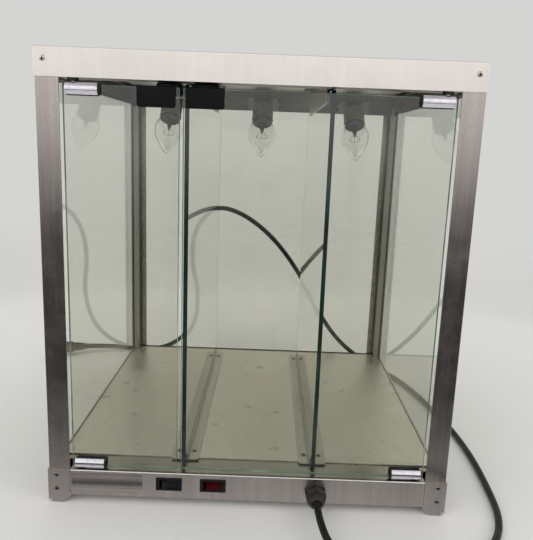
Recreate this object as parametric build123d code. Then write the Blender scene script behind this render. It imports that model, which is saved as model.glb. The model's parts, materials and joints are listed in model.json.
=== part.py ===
from build123d import *
from math import cos, pi, radians, sin, tan
import os

# Hot food display case. Millimetres, +Z up, the door side faces -Y, +X is to the right
# when one looks at the doors. The origin is the centre of the footprint, on the worktop.

# ---------------------------------------------------------------- driving dimensions
HEIGHT = 530.0            # worktop to the top of the cap
CAP_WIDTH = 484.0         # cap and base panels, outside
CAP_DEPTH = 468.0
CAP_SKIRT = 31.0          # depth of the cap's skirt
GAUGE = 1.2               # sheet metal
GAP = 0.3                 # ordinary gap between two separate pieces
FOOT_HEIGHT = 11.0        # worktop to the base panels
PANEL_HEIGHT = 32.5       # base panels
POST_LEG = 25.4           # corner post angle, one leg
POST_GAUGE = 1.5
GLASS = 4.0               # doors and fixed panes
DIVIDER_GLASS = 5.0

# ---------------------------------------------------------------- derived levels
OUT_X = CAP_WIDTH / 2                     # outer faces of cap and base
OUT_Y = CAP_DEPTH / 2
POST_X = OUT_X - GAUGE - GAP              # outer faces of the posts
POST_Y = OUT_Y - GAUGE - GAP
BASE_TOP = FOOT_HEIGHT + PANEL_HEIGHT     # top of the base panels and of the front ledge
SKIRT_BOTTOM = HEIGHT - CAP_SKIRT
INSIDE_X = POST_X - POST_LEG              # clear half width between the posts
INSIDE_Y = POST_Y - POST_LEG
RAIL_TOP = SKIRT_BOTTOM + POST_LEG

# ---------------------------------------------------------------- deck and base
DECK_TOP = BASE_TOP + GAP + GAUGE
DECK_X = 238.0
DECK_FRONT = -196.0
DECK_REAR = POST_Y - POST_GAUGE - 2 * GAP
LEDGE_REAR = DECK_FRONT + 6.0
LEDGE_WIDE_X = 225.6
RETURN_LEG = 12.0                         # bottom returns of the base panels
SIDE_FLANGE = 14.8                        # top flanges of the side and rear panels
SEAM = 0.4                                # seam between a foot bracket and a panel
FOOT_TOE = 18.5                           # width of a foot on the worktop
FOOT_FLARE = 9.0                          # height at which a foot has flared to its bracket's width
FOOT_ROUND = 5.0                          # rounding of a foot's outer corner
BEND = 2.4                                # outer radius of the folded front edge
PAN_X = 227.0
PAN_Y = 219.0
PAN_GAUGE = 1.0

# ---------------------------------------------------------------- fixed panes
PANE_X = POST_X - POST_GAUGE - 0.4        # outer face of a side pane
PANE_BOTTOM = DECK_TOP + GAP
PANE_TOP = SKIRT_BOTTOM + 4.0
PANE_FRONT = -229.0
PANE_REAR = 230.0
REAR_PANE_Y = 226.0                       # inner face of the rear pane
REAR_PANE_X = 233.6
BAR_OUT_X = PANE_X - GLASS - GAP          # outer face of a glazing bar
BAR_WIDTH = 9.0
BAR_DEPTH = 13.7
BAR_WALL = 1.0
BAR_TOP = SKIRT_BOTTOM - 3.0
FRONT_BAR_LEG = 13.0
FRONT_BAR_FACE = 17.2                     # leg that closes the gap beside a door

# ---------------------------------------------------------------- doors
DOOR_SPLIT = -84.5                        # middle of the gap between the doors
DOOR_GAP = 4.0
DOOR_EDGE = INSIDE_X - 2.6                # hinge-side edge of a door
DOOR_BOTTOM = 46.5
DOOR_TOP = 492.5
DOOR_FACE = -229.0                        # outer face of the door glass
DOOR_MID = DOOR_FACE + GLASS / 2
PIVOT_X = 201.0
PIVOT_R = 2.5
CLAMP_INSET = 3.8                         # clamp behind the hinge-side edge of the glass
CLAMP_LENGTH = 37.0
CLAMP_HEIGHT = 13.0
CLAMP_DEPTH = 14.0
CLAMP_LIP = 2.1                           # metal beyond the glass edge
CLAMP_SLOT = GLASS + 2.0                  # glass and its two gaskets
STRIKE_WIDTH = 42.0
STRIKE_HEIGHT = 22.5
STRIKE_BACK = 10.0
STRIKE_GAUGE = 1.0
LEFT_STRIKE_X = -111.5
RIGHT_STRIKE_X = -59.0
CATCH_WIDTH = 28.0
CATCH_HEIGHT = 14.0
CATCH_DEPTH = 42.0
LEFT_CATCH_X = -100.0
RIGHT_CATCH_X = -59.5
PLUNGER_Z = 488.6
PLUNGER_HEAD_R = 4.4
PLUNGER_STEM_R = 3.0
RUNNING = 0.05                            # radial clearance of a running fit

# ---------------------------------------------------------------- dividers
DIVIDER_X = 80.0
DIVIDER_FRONT = -215.0
DIVIDER_REAR = 218.0
DIVIDER_TOP = 498.0
STRIP_WIDTH = 14.5
STRIP_LIP = 8.0
STRIP_END = 203.0
GUIDE_BOTTOM = 487.0
GUIDE_FRONT = -170.0
GUIDE_REAR = 154.0
GUIDE_FLANGE = 12.0

# ---------------------------------------------------------------- lamps
LAMP_PITCH = 160.0
LAMP_SHIFT = -3.0
LAMP_TILT = 39.0                          # lamp axis, degrees forward of straight down
LAMP_RAIL_Y = 220.0
LAMP_RAIL_X = 232.5
LAMP_RAIL_BOTTOM = 496.0
LAMP_RAIL_TOP = 526.0
TAB_WIDTH = 52.0
TAB_LENGTH = 33.0
WINDOW_WIDTH = 57.0
WINDOW_TOP = 522.0
SOCKET_R = 18.0
SOCKET_LENGTH = 34.0
SOCKET_GAP = 3.5                          # threaded nipple between tab and socket
BULB_R = 23.8
BULB_LENGTH = 76.0                        # below the socket rim
BULB_WALL = 0.8

# ---------------------------------------------------------------- switches, gland, label
SWITCH_Z = 29.0
LIGHT_SWITCH_X = -95.0
HEAT_SWITCH_X = -41.8
BEZEL_WIDTH = 31.5
BEZEL_HEIGHT = 16.4
BEZEL_PROUD = 1.5
ROCKER_WIDTH = 19.0
ROCKER_HEIGHT = 10.0
ROCKER_SWING = 24.0                       # degrees from one side to the other
ROCKER_PIVOT_DEPTH = 4.5                  # pivot behind the panel face
GLAND_X = 83.0
GLAND_Z = 25.0
CORD_D = 8.5
LABEL_WIDTH = 86.0
LABEL_HEIGHT = 24.6
LABEL_X = -170.0

RIVET_HEAD_R = 3.2
RIVET_SHANK_R = 1.6


# ---------------------------------------------------------------- helpers
def slab(x0, x1, y0, y1, z0, z1):
    """A block between two corners, given in any order."""
    size = (abs(x1 - x0), abs(y1 - y0), abs(z1 - z0))
    return Pos((x0 + x1) / 2, (y0 + y1) / 2, (z0 + z1) / 2) * Box(*size)


def rod(start, end, radius):
    """A round bar from one point to another."""
    axis = Vector(*end) - Vector(*start)
    plane = Plane(origin=start, z_dir=axis)
    return extrude(plane * Circle(radius), axis.length)


def group(solids):
    """Several separate solids in one node."""
    return Compound(children=list(solids))


def corner_angle(side_x, side_y, out_x, out_y, leg, gauge, z0, z1):
    """An upright angle whose outer corner is at (side_x * out_x, side_y * out_y)."""
    back = slab(side_x * out_x, side_x * (out_x - leg), side_y * out_y, side_y * (out_y - gauge), z0, z1)
    side = slab(side_x * out_x, side_x * (out_x - gauge), side_y * out_y, side_y * (out_y - leg), z0, z1)
    angle = back + side
    corner = (side_x * out_x, side_y * out_y, (z0 + z1) / 2)
    outer_edge = angle.edges().filter_by(Axis.Z).sort_by_distance(corner)[0]
    return fillet(outer_edge, gauge)


def pop_rivet(point, outward, grip):
    """A domed blind rivet with a hollow mandrel hole, its head outside the sheet."""
    plane = Plane(origin=point, z_dir=outward)
    head = plane * Pos(0, 0, 0) * Cone(
        RIVET_HEAD_R, RIVET_HEAD_R * 0.55, 1.1, align=(Align.CENTER, Align.CENTER, Align.MIN),
    )
    shank = plane * Cylinder(RIVET_SHANK_R, grip, align=(Align.CENTER, Align.CENTER, Align.MAX))
    hollow = plane * Cylinder(0.9, 2 * grip, align=(Align.CENTER, Align.CENTER, Align.CENTER))
    return head + shank - hollow


def rivet_hole(point, outward, grip):
    """The clearance hole that a rivet's shank passes through."""
    plane = Plane(origin=point, z_dir=outward)
    return plane * Cylinder(RIVET_SHANK_R + RUNNING, 2 * grip + 2)


# ---------------------------------------------------------------- rivet positions
SKIN_GRIP = 2 * GAUGE + GAP + 1.2
FOOT_RIVET_LEVELS = (18.6, 36.6)
CAP_RIVET_Z = 517.4
RIVET_INSET = 11.0


def foot_rivet_points():
    points = []
    for side_x in (-1, 1):
        for side_y in (-1, 1):
            for level in FOOT_RIVET_LEVELS:
                points.append(((side_x * (OUT_X - RIVET_INSET), side_y * OUT_Y, level), (0, side_y, 0)))
                points.append(((side_x * OUT_X, side_y * (OUT_Y - RIVET_INSET), level), (side_x, 0, 0)))
    return points


def cap_rivet_points():
    points = []
    for side_x in (-1, 1):
        for side_y in (-1, 1):
            points.append(((side_x * (OUT_X - RIVET_INSET), side_y * OUT_Y, CAP_RIVET_Z), (0, side_y, 0)))
            points.append(((side_x * OUT_X, side_y * (OUT_Y - RIVET_INSET), CAP_RIVET_Z), (side_x, 0, 0)))
    return points


def strip_rivet_points():
    points = []
    reach = DIVIDER_GLASS / 2 + STRIP_WIDTH / 2
    for divider in (-DIVIDER_X, DIVIDER_X):
        for side in (-1, 1):
            for end in (-1, 1):
                points.append(((divider + side * reach, end * (STRIP_END - 21), DECK_TOP + GAUGE), (0, 0, 1)))
    return points


def drill(part, points):
    """Cuts the rivet holes that lie in one sheet."""
    for point, outward in points:
        part = part - rivet_hole(point, outward, SKIN_GRIP)
    return part


# ---------------------------------------------------------------- shell of the case
def top_cap():
    body = slab(-OUT_X, OUT_X, -OUT_Y, OUT_Y, SKIRT_BOTTOM, HEIGHT)
    corners = body.edges().filter_by(Axis.Z)
    body = fillet(corners, 1.6)
    body = fillet(body.faces().sort_by(Axis.Z)[-1].edges(), 1.6)
    void = slab(GAUGE - OUT_X, OUT_X - GAUGE, GAUGE - OUT_Y, OUT_Y - GAUGE, SKIRT_BOTTOM - 1, HEIGHT - GAUGE)
    return drill(body - void, cap_rivet_points())


def corner_post(side_x, side_y):
    post = corner_angle(side_x, side_y, POST_X, POST_Y, POST_LEG, POST_GAUGE, FOOT_HEIGHT + 1, HEIGHT - 3)
    return drill(post, foot_rivet_points() + cap_rivet_points())


def front_top_rail():
    """Header: an upright leg behind the skirt and a flat leg above the doors."""
    half = INSIDE_X - GAP
    upright = slab(-half, half, -POST_Y, GAUGE - POST_Y, SKIRT_BOTTOM, RAIL_TOP)
    flat = slab(-half, half, -POST_Y, -INSIDE_Y, SKIRT_BOTTOM, SKIRT_BOTTOM + GAUGE)
    rail = upright + flat
    for side in (-1, 1):
        rail = rail - Pos(side * PIVOT_X, DOOR_MID, SKIRT_BOTTOM) * Cylinder(BUSH_R + RUNNING, 10)
    return rail


def rear_top_rail():
    half = INSIDE_X - GAP
    upright = slab(-half, half, POST_Y, POST_Y - GAUGE, SKIRT_BOTTOM, RAIL_TOP)
    flat = slab(-half, half, POST_Y, POST_Y - 10, RAIL_TOP - GAUGE, RAIL_TOP)
    return upright + flat


def side_top_rail(side):
    half = INSIDE_Y - GAP
    upright = slab(side * POST_X, side * (POST_X - GAUGE), -half, half, SKIRT_BOTTOM, RAIL_TOP)
    flat = slab(side * POST_X, side * (POST_X - SIDE_FLANGE), -half, half, RAIL_TOP - GAUGE, RAIL_TOP)
    return upright + flat


def foot_outline(side_x, side_y, front):
    """Maps a point of a foot's outline, its distance from the corner and height, to space."""
    if front:
        return lambda inward, z: (side_x * (OUT_X - inward), side_y * (OUT_Y + 1), z)
    return lambda inward, z: (side_x * (OUT_X + 1), side_y * (OUT_Y - inward), z)


def foot_bracket(side_x, side_y):
    """Wraps the foot of a post, flush with the base panels, and stands on a folded pad."""
    reach = POST_LEG + GAUGE + GAP
    bracket = corner_angle(side_x, side_y, OUT_X, OUT_Y, reach, GAUGE, 0, BASE_TOP)
    inset = GAUGE / 2
    bracket = bracket + slab(
        side_x * (OUT_X - inset), side_x * (OUT_X - FOOT_TOE),
        side_y * (OUT_Y - inset), side_y * (OUT_Y - FOOT_TOE), 0, GAUGE,
    )
    across = FOOT_ROUND * (1 - cos(radians(45)))
    below = -1
    for front in (True, False):
        at = foot_outline(side_x, side_y, front)
        inward = (0, -side_y, 0) if front else (-side_x, 0, 0)
        slope = Polyline(
            at(FOOT_TOE, below), at(FOOT_TOE, 0), at(
                reach + 1, FOOT_FLARE,
            ), at(reach + 1, below), at(FOOT_TOE, below)
        )
        corner = ThreePointArc(at(0, FOOT_ROUND), at(across, across), at(FOOT_ROUND, 0))
        corner += Polyline(
            at(FOOT_ROUND, 0), at(FOOT_ROUND, below), at(below, below), at(below, FOOT_ROUND),
            at(0, FOOT_ROUND),
        )
        for outline in (slope, corner):
            bracket = bracket - extrude(make_face(outline), FOOT_ROUND + 1, dir=inward)
    return drill(bracket, foot_rivet_points())


# ---------------------------------------------------------------- base
PANEL_HALF_X = OUT_X - POST_LEG - GAUGE - GAP - SEAM
PANEL_HALF_Y = OUT_Y - POST_LEG - GAUGE - GAP - SEAM


def base_front_panel():
    """Front panel folded back at the top into the ledge in front of the deck."""
    half = PANEL_HALF_X
    face = slab(-half, half, -OUT_Y, GAUGE - OUT_Y, FOOT_HEIGHT, BASE_TOP)
    ledge = slab(-half, half, -OUT_Y, LEDGE_REAR, BASE_TOP - GAUGE, BASE_TOP)
    panel = face + ledge
    fold = panel.edges().filter_by(Axis.X).sort_by_distance((0, -OUT_Y, BASE_TOP))[0]
    panel = fillet(fold, BEND / 2)
    panel = panel + slab(-LEDGE_WIDE_X, LEDGE_WIDE_X, -INSIDE_Y + GAP, LEDGE_REAR, BASE_TOP - GAUGE, BASE_TOP)
    panel = panel + slab(-half, half, -OUT_Y, RETURN_LEG - OUT_Y, FOOT_HEIGHT, FOOT_HEIGHT + GAUGE)
    for x in (LIGHT_SWITCH_X, HEAT_SWITCH_X):
        panel = panel - slab(
            x - HOUSING_X - 0.1, x + HOUSING_X + 0.1, -OUT_Y - 1, 3 - OUT_Y, SWITCH_Z - HOUSING_Z - 0.1,
            SWITCH_Z + HOUSING_Z + 0.1,
        )
    panel = panel - rod((GLAND_X, -OUT_Y - 2, GLAND_Z), (GLAND_X, 5 - OUT_Y, GLAND_Z), GLAND_THREAD_R + 0.1)
    for side in (-1, 1):
        panel = panel - Pos(side * PIVOT_X, DOOR_MID, BASE_TOP) * Cylinder(BUSH_R + RUNNING, 10)
    return panel


def base_rear_panel():
    half = PANEL_HALF_X
    face = slab(-half, half, OUT_Y, OUT_Y - GAUGE, FOOT_HEIGHT, BASE_TOP)
    top = slab(-half, half, OUT_Y, OUT_Y - SIDE_FLANGE, BASE_TOP - GAUGE, BASE_TOP)
    foot = slab(-half, half, OUT_Y, OUT_Y - RETURN_LEG, FOOT_HEIGHT, FOOT_HEIGHT + GAUGE)
    return face + top + foot


def base_side_panel(side):
    half = PANEL_HALF_Y
    face = slab(side * OUT_X, side * (OUT_X - GAUGE), -half, half, FOOT_HEIGHT, BASE_TOP)
    top = slab(side * OUT_X, side * (OUT_X - SIDE_FLANGE), GAP - INSIDE_Y, half, BASE_TOP - GAUGE, BASE_TOP)
    foot = slab(side * OUT_X, side * (OUT_X - RETURN_LEG - 3), -half, half, FOOT_HEIGHT, FOOT_HEIGHT + GAUGE)
    return face + top + foot


def base_pan():
    """Bottom tray with rows of vent slots."""
    low = FOOT_HEIGHT + GAUGE + GAP
    pan = slab(-PAN_X, PAN_X, -PAN_Y, PAN_Y, low, low + PAN_GAUGE)
    for row in (-150.0, 150.0):
        for column in range(-4, 5):
            pan = pan - Pos(column * 22.0, row, low) * extrude(SlotOverall(30, 4, rotation=90), 3, both=True)
    return pan


def deck_plate():
    deck = slab(-DECK_X, DECK_X, DECK_FRONT, DECK_REAR, DECK_TOP - GAUGE, DECK_TOP)
    front = deck.edges().filter_by(Axis.Z).group_by(Axis.Y)[0]
    deck = fillet(front, 6)
    loom = BAR_OUT_X - BAR_WIDTH / 2
    deck = deck - Pos(loom, LOOM_Y, DECK_TOP) * Cylinder(LOOM_R + 1, 6)
    return drill(deck, strip_rivet_points())


# ---------------------------------------------------------------- fixed glass
def pane(x0, x1, y0, y1, z0, z1, across):
    """A pane with slightly eased long edges; across is the axis through its thickness."""
    glass = slab(x0, x1, y0, y1, z0, z1)
    corners = glass.edges().filter_by(across)
    return fillet(corners, 1.5)


def side_pane(side):
    return pane(side * PANE_X, side * (PANE_X - GLASS), PANE_FRONT, PANE_REAR, PANE_BOTTOM, PANE_TOP, Axis.X)


def rear_pane():
    return pane(-REAR_PANE_X, REAR_PANE_X, REAR_PANE_Y, REAR_PANE_Y + GLASS, PANE_BOTTOM, PANE_TOP, Axis.Y)


def rear_glazing_bar(side):
    """Hollow bar in the rear corner that holds the panes; the right one carries the loom."""
    far = REAR_PANE_Y - GAP
    outer = slab(
        side * BAR_OUT_X, side * (BAR_OUT_X - BAR_WIDTH), far - BAR_DEPTH, far, DECK_TOP + GAP, BAR_TOP,
    )
    inner = slab(
        side * (BAR_OUT_X - BAR_WALL), side * (BAR_OUT_X - BAR_WIDTH + BAR_WALL),
        far - BAR_DEPTH + BAR_WALL, far - BAR_WALL, 0, HEIGHT,
    )
    return outer - inner


def front_glazing_bar(side):
    """Thin angle in the front corner, behind the post."""
    near = -POST_Y + POST_GAUGE + GAP
    back = slab(
        side * BAR_OUT_X, side * (BAR_OUT_X - FRONT_BAR_FACE), near, near + BAR_WALL, DECK_TOP + GAP,
        BAR_TOP,
    )
    leg = slab(
        side * BAR_OUT_X, side * (BAR_OUT_X - BAR_WALL), near, near + FRONT_BAR_LEG, DECK_TOP + GAP,
        BAR_TOP,
    )
    return back + leg


# ---------------------------------------------------------------- dividers
def divider(x):
    half = DIVIDER_GLASS / 2
    return pane(x - half, x + half, DIVIDER_FRONT, DIVIDER_REAR, DECK_TOP + GAUGE, DIVIDER_TOP, Axis.X)


def floor_strip(x, side):
    """Angle riveted to the deck; its lip stands against the divider."""
    near = x + side * (DIVIDER_GLASS / 2 + GAP)
    far = near + side * STRIP_WIDTH
    flat = slab(near, far, -STRIP_END, STRIP_END, DECK_TOP, DECK_TOP + GAUGE)
    ends = flat.edges().filter_by(Axis.Z).sort_by(lambda edge: side * edge.center().X)[-2:]
    flat = fillet(ends, 5)
    lip = slab(near, near + side * GAUGE, -STRIP_END, STRIP_END, DECK_TOP, DECK_TOP + STRIP_LIP)
    return drill(flat + lip, strip_rivet_points())


def hanging_guide(x, side):
    """Angle under the cap; its long leg hangs beside the divider's top edge."""
    near = x + side * (DIVIDER_GLASS / 2 + GAP)
    top = HEIGHT - GAUGE - GAP
    leg = slab(near, near + side * GAUGE, GUIDE_FRONT, GUIDE_REAR, GUIDE_BOTTOM, top)
    flange = slab(near, near + side * GUIDE_FLANGE, GUIDE_FRONT, GUIDE_REAR, top - GAUGE, top)
    return leg + flange


# ---------------------------------------------------------------- doors
BUSH_R = 4.5
BUSH_FLANGE_R = 6.0
BUSH_COLLAR = 3.6                         # collar below the header
BUSH_FLANGE = 0.6                         # flange on the ledge


def door_limits(side):
    """Hinge-side edge and free edge of a door."""
    free = DOOR_SPLIT + side * DOOR_GAP / 2
    return side * DOOR_EDGE, free


def door_glass(side):
    hinge_edge, free = door_limits(side)
    return pane(hinge_edge, free, DOOR_FACE, DOOR_FACE + GLASS, DOOR_BOTTOM, DOOR_TOP, Axis.Y)


def pivot_clamp(side, top):
    """Bevelled block that grips a door corner; top is True above and False below."""
    outer = side * (DOOR_EDGE - CLAMP_INSET)
    inner = outer - side * CLAMP_LENGTH
    edge = DOOR_TOP if top else DOOR_BOTTOM
    out = 1 if top else -1
    low = edge + out * CLAMP_LIP
    high = low - out * CLAMP_HEIGHT
    block = slab(outer, inner, DOOR_MID - CLAMP_DEPTH / 2, DOOR_MID + CLAMP_DEPTH / 2, low, high)
    block = fillet(block.edges().filter_by(Axis.X), 2.4)
    block = chamfer(block.edges().filter_by(Axis.Y), 1.2)
    slot = slab(
        outer + side, inner - side, DOOR_MID - CLAMP_SLOT / 2, DOOR_MID + CLAMP_SLOT / 2,
        edge + out * GAP, high - out * 2,
    )
    hole = Pos(side * PIVOT_X, DOOR_MID, low) * Cylinder(PIVOT_R, 2 * CLAMP_LIP)
    return block - slot - hole


def pivot_pin(side, top):
    """Pin pressed into a clamp and turning in its bushing."""
    if top:
        return rod(
            (side * PIVOT_X, DOOR_MID, DOOR_TOP + GAP), (side * PIVOT_X, DOOR_MID, SKIRT_BOTTOM + 4),
            PIVOT_R,
        )
    return rod(
        (side * PIVOT_X, DOOR_MID, DOOR_BOTTOM - GAP), (side * PIVOT_X, DOOR_MID, BASE_TOP - 4), PIVOT_R,
    )


def pivot_bushing(side, top):
    """Flanged nylon bush in the header above or in the ledge below."""
    face = SKIRT_BOTTOM if top else BASE_TOP
    out = -1 if top else 1
    centre = (side * PIVOT_X, DOOR_MID)
    flange = rod(
        (*centre, face), (*centre, face + out * (BUSH_COLLAR if top else BUSH_FLANGE)), BUSH_FLANGE_R,
    )
    barrel = rod((*centre, face), (*centre, face - out * 5), BUSH_R)
    bore = rod((*centre, face - 8), (*centre, face + 8), PIVOT_R + RUNNING)
    return flange + barrel - bore


def strike_plate(x):
    """Folded plate that slips over the top edge of a door."""
    low = DOOR_TOP + GAP + STRIKE_GAUGE - STRIKE_HEIGHT
    front_face = DOOR_FACE - GAP
    back_face = DOOR_FACE + GLASS + GAP
    front = slab(
        x - STRIKE_WIDTH / 2, x + STRIKE_WIDTH / 2, front_face, front_face - STRIKE_GAUGE, low,
        DOOR_TOP + GAP,
    )
    front = fillet(front.edges().filter_by(Axis.Y).group_by(Axis.Z)[0], 3)
    back = slab(
        x - STRIKE_WIDTH / 2, x + STRIKE_WIDTH / 2, back_face, back_face + STRIKE_GAUGE,
        DOOR_TOP - STRIKE_BACK, DOOR_TOP + GAP,
    )
    bridge = slab(
        x - STRIKE_WIDTH / 2, x + STRIKE_WIDTH / 2, front_face - STRIKE_GAUGE, back_face + STRIKE_GAUGE,
        DOOR_TOP + GAP, DOOR_TOP + GAP + STRIKE_GAUGE,
    )
    return front + back + bridge


CATCH_FRONT = DOOR_FACE + GLASS + GAP + STRIKE_GAUGE + 4.4
CATCH_TOP = SKIRT_BOTTOM - GAP


def catch_body(x):
    """Touch catch screwed under the header, bored for its plunger."""
    body = slab(
        x - CATCH_WIDTH / 2, x + CATCH_WIDTH / 2, CATCH_FRONT, CATCH_FRONT + CATCH_DEPTH,
        CATCH_TOP - CATCH_HEIGHT, CATCH_TOP,
    )
    body = fillet(body.edges().filter_by(Axis.Z), 2)
    bore = rod((x, CATCH_FRONT - 1, PLUNGER_Z), (x, CATCH_FRONT + 34, PLUNGER_Z), PLUNGER_STEM_R + RUNNING)
    return body - bore


def catch_plunger(x):
    """Magnet-tipped plunger that rests against the strike plate's back leg."""
    tip = DOOR_FACE + GLASS + GAP + STRIKE_GAUGE + GAP
    head = rod((x, tip, PLUNGER_Z), (x, tip + 3.4, PLUNGER_Z), PLUNGER_HEAD_R)
    stem = rod((x, tip + 3, PLUNGER_Z), (x, tip + 30, PLUNGER_Z), PLUNGER_STEM_R)
    return head + stem


# ---------------------------------------------------------------- lamps
def lamp_place(x):
    """Frame on a tab's face: the lamp runs along its own -Z, down and forward."""
    middle = TAB_LENGTH / 2
    forward = middle * cos(radians(LAMP_TILT))
    up = middle * sin(radians(LAMP_TILT))
    return Pos(x, LAMP_RAIL_Y + GAUGE / 2 - forward, LAMP_RAIL_BOTTOM + up) * Rot(-LAMP_TILT, 0, 0)


LAMP_XS = [LAMP_SHIFT + step * LAMP_PITCH for step in (-1, 0, 1)]
LOOM_R = 2.0
LOOM_Y = REAR_PANE_Y - GAP - BAR_DEPTH / 2
LOOM_Z = 509.0
LOOM_CROSS = -185.0                       # where the base leads cross behind the front panel


def lamp_rail():
    """Strip across the back under the cap; three tabs are lanced out of it and bent forward."""
    rail = slab(-LAMP_RAIL_X, LAMP_RAIL_X, LAMP_RAIL_Y, LAMP_RAIL_Y + GAUGE, LAMP_RAIL_BOTTOM, LAMP_RAIL_TOP)
    rail = rail + slab(
        -LAMP_RAIL_X, LAMP_RAIL_X, LAMP_RAIL_Y, PANE_REAR, LAMP_RAIL_TOP - GAUGE, LAMP_RAIL_TOP,
    )
    for x in LAMP_XS:
        rail = rail - slab(
            x - WINDOW_WIDTH / 2, x + WINDOW_WIDTH / 2, LAMP_RAIL_Y - 1, LAMP_RAIL_Y + GAUGE + 1,
            LAMP_RAIL_BOTTOM + 2, WINDOW_TOP,
        )
        tab = slab(-TAB_WIDTH / 2, TAB_WIDTH / 2, -GAUGE / 2, GAUGE / 2, 0, TAB_LENGTH)
        tab = fillet(tab.edges().filter_by(Axis.Y).group_by(Axis.Z)[-1], 3)
        rail = rail + Pos(
            x, LAMP_RAIL_Y + GAUGE / 2, LAMP_RAIL_BOTTOM + GAUGE / 2,
        ) * Rot(90 - LAMP_TILT, 0, 0) * tab
    loom_x = BAR_OUT_X - BAR_WIDTH / 2
    return rail - rod((loom_x, LAMP_RAIL_Y - 3, LOOM_Z), (loom_x, LAMP_RAIL_Y + 3, LOOM_Z), LOOM_R + 1)


def lamp_socket(x):
    """Sleeve with a rounded back, a bore for the lamp cap, and its mounting nipple."""
    back = -GAUGE - SOCKET_GAP
    sleeve = Pos(0, 0, back - SOCKET_LENGTH / 2) * Cylinder(SOCKET_R, SOCKET_LENGTH)
    sleeve = fillet(sleeve.edges().sort_by(Axis.Z)[-1], 7)
    bore = Pos(0, 0, back - SOCKET_LENGTH) * Cylinder(SOCKET_R - 1.2, 2 * (SOCKET_LENGTH - 6))
    nipple = rod((0, 0, back - 1), (0, 0, -GAUGE), 5)
    return lamp_place(x) * (sleeve - bore + nipple)


RIM = -GAUGE - SOCKET_GAP - SOCKET_LENGTH     # socket rim along the lamp axis


def bulb_outline(wall):
    """Half outline of the flame-shaped bulb, offset inwards by the wall."""
    profile = [
        (13.0, 10.0), (14.5, 4.0), (19.5, -8.0), (BULB_R, -24.0), (20.0, -42.0), (11.5, -62.0),
        (5.0, -72.5),
    ]
    points = [(radius - wall, RIM + along) for radius, along in profile]
    tip = (0.0, RIM - BULB_LENGTH + wall)
    side = Spline(points + [tip], tangents=[(0.2, -1), (-1, 0)])
    lid = Polyline(tip, (0, points[0][1]), points[0])
    return make_face(Plane.XZ * (side + lid))


def bulb_envelope(x):
    outer = revolve(bulb_outline(0), Axis.Z)
    inner = Pos(0, 0, -BULB_WALL) * revolve(bulb_outline(BULB_WALL), Axis.Z)
    return lamp_place(x) * (outer - inner)


def bulb_cap(x):
    """Screw cap with its insulated end contact."""
    shell = rod((0, 0, RIM + 10.3), (0, 0, RIM + 24.5), 13.0)
    taper = Pos(0, 0, RIM + 26) * Cone(11, 6, 3)
    return lamp_place(x) * (shell + taper)


def bulb_mount(x):
    """Glass stem with its lead wires and the filament strung between them."""
    stem = rod((0, 0, RIM + 8), (0, 0, RIM - 12), 3.2)
    button = Pos(0, 0, RIM - 12) * Sphere(2.2)
    mount = stem + button
    for side in (-1, 1):
        mount = mount + rod((side * 1.8, 0, RIM - 10), (side * 9, 0, RIM - 27), 0.5)
    mount = mount + rod((-9, 0, RIM - 26.8), (9, 0, RIM - 26.8), 0.6)
    return lamp_place(x) * mount


# ---------------------------------------------------------------- switches
HOUSING_X = 13.8
HOUSING_Z = 7.0
ROCKER_POCKET_X = 10.9
ROCKER_POCKET_Z = 5.3


def switch_housing(x):
    """Snap-in body with a bezel and a pocket for the rocker."""
    face = -OUT_Y - BEZEL_PROUD
    bezel = slab(
        x - BEZEL_WIDTH / 2, x + BEZEL_WIDTH / 2, face, -OUT_Y, SWITCH_Z - BEZEL_HEIGHT / 2,
        SWITCH_Z + BEZEL_HEIGHT / 2,
    )
    bezel = fillet(bezel.edges().filter_by(Axis.Y), 1)
    body = slab(
        x - HOUSING_X, x + HOUSING_X, face + 1, 20 - OUT_Y, SWITCH_Z - HOUSING_Z, SWITCH_Z + HOUSING_Z,
    )
    pocket = slab(
        x - ROCKER_POCKET_X, x + ROCKER_POCKET_X, face - 1, 13.5 - OUT_Y, SWITCH_Z - ROCKER_POCKET_Z,
        SWITCH_Z + ROCKER_POCKET_Z,
    )
    pin_hole = rod((x, ROCKER_Y, SWITCH_Z - 7), (x, ROCKER_Y, SWITCH_Z + 7), 1 + RUNNING)
    housing = bezel + body - pocket - pin_hole
    for blade in (-7.0, 7.0):
        housing = housing + slab(
            x + blade - 0.4, x + blade + 0.4, 19.8 - OUT_Y, 28 - OUT_Y, SWITCH_Z - 3.1, SWITCH_Z + 3.1,
        )
    return housing


ROCKER_Y = ROCKER_PIVOT_DEPTH - OUT_Y


def rocker(x):
    """Shallow V-faced rocker on two stub pins, at rest with its left end out."""
    half = ROCKER_WIDTH / 2
    face = -ROCKER_PIVOT_DEPTH - 0.6
    ends = face - half * tan(radians(ROCKER_SWING / 2))
    outline = Polyline(
        (0, face), (half, ends), (half, -1), (6.5, 7), (-6.5, 7), (-half, -1), (-half, ends), (0, face),
    )
    body = extrude(make_face(outline), ROCKER_HEIGHT / 2, both=True)
    pins = rod((0, 0, -5.65), (0, 0, 5.65), 1)
    return Pos(x, ROCKER_Y, SWITCH_Z) * Rot(0, 0, ROCKER_SWING / 2) * (body + pins)


# ---------------------------------------------------------------- gland, label
GLAND_THREAD_R = 9.3
GLAND_HEX = 13.8                 # across corners, half
GLAND_TURN = 15.0                # how far the flange is turned from its nut
GLAND_FLANGE = 5.0
GLAND_NUT = 20.0


def hexagon(y0, y1, radius, turn=0):
    """A hexagonal length along Y, with a corner up unless it is turned."""
    plane = Plane(origin=(GLAND_X, y0, GLAND_Z), x_dir=(0, 0, 1), z_dir=(0, 1, 0))
    return extrude(plane * RegularPolygon(radius, 6, rotation=turn), y1 - y0)


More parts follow.
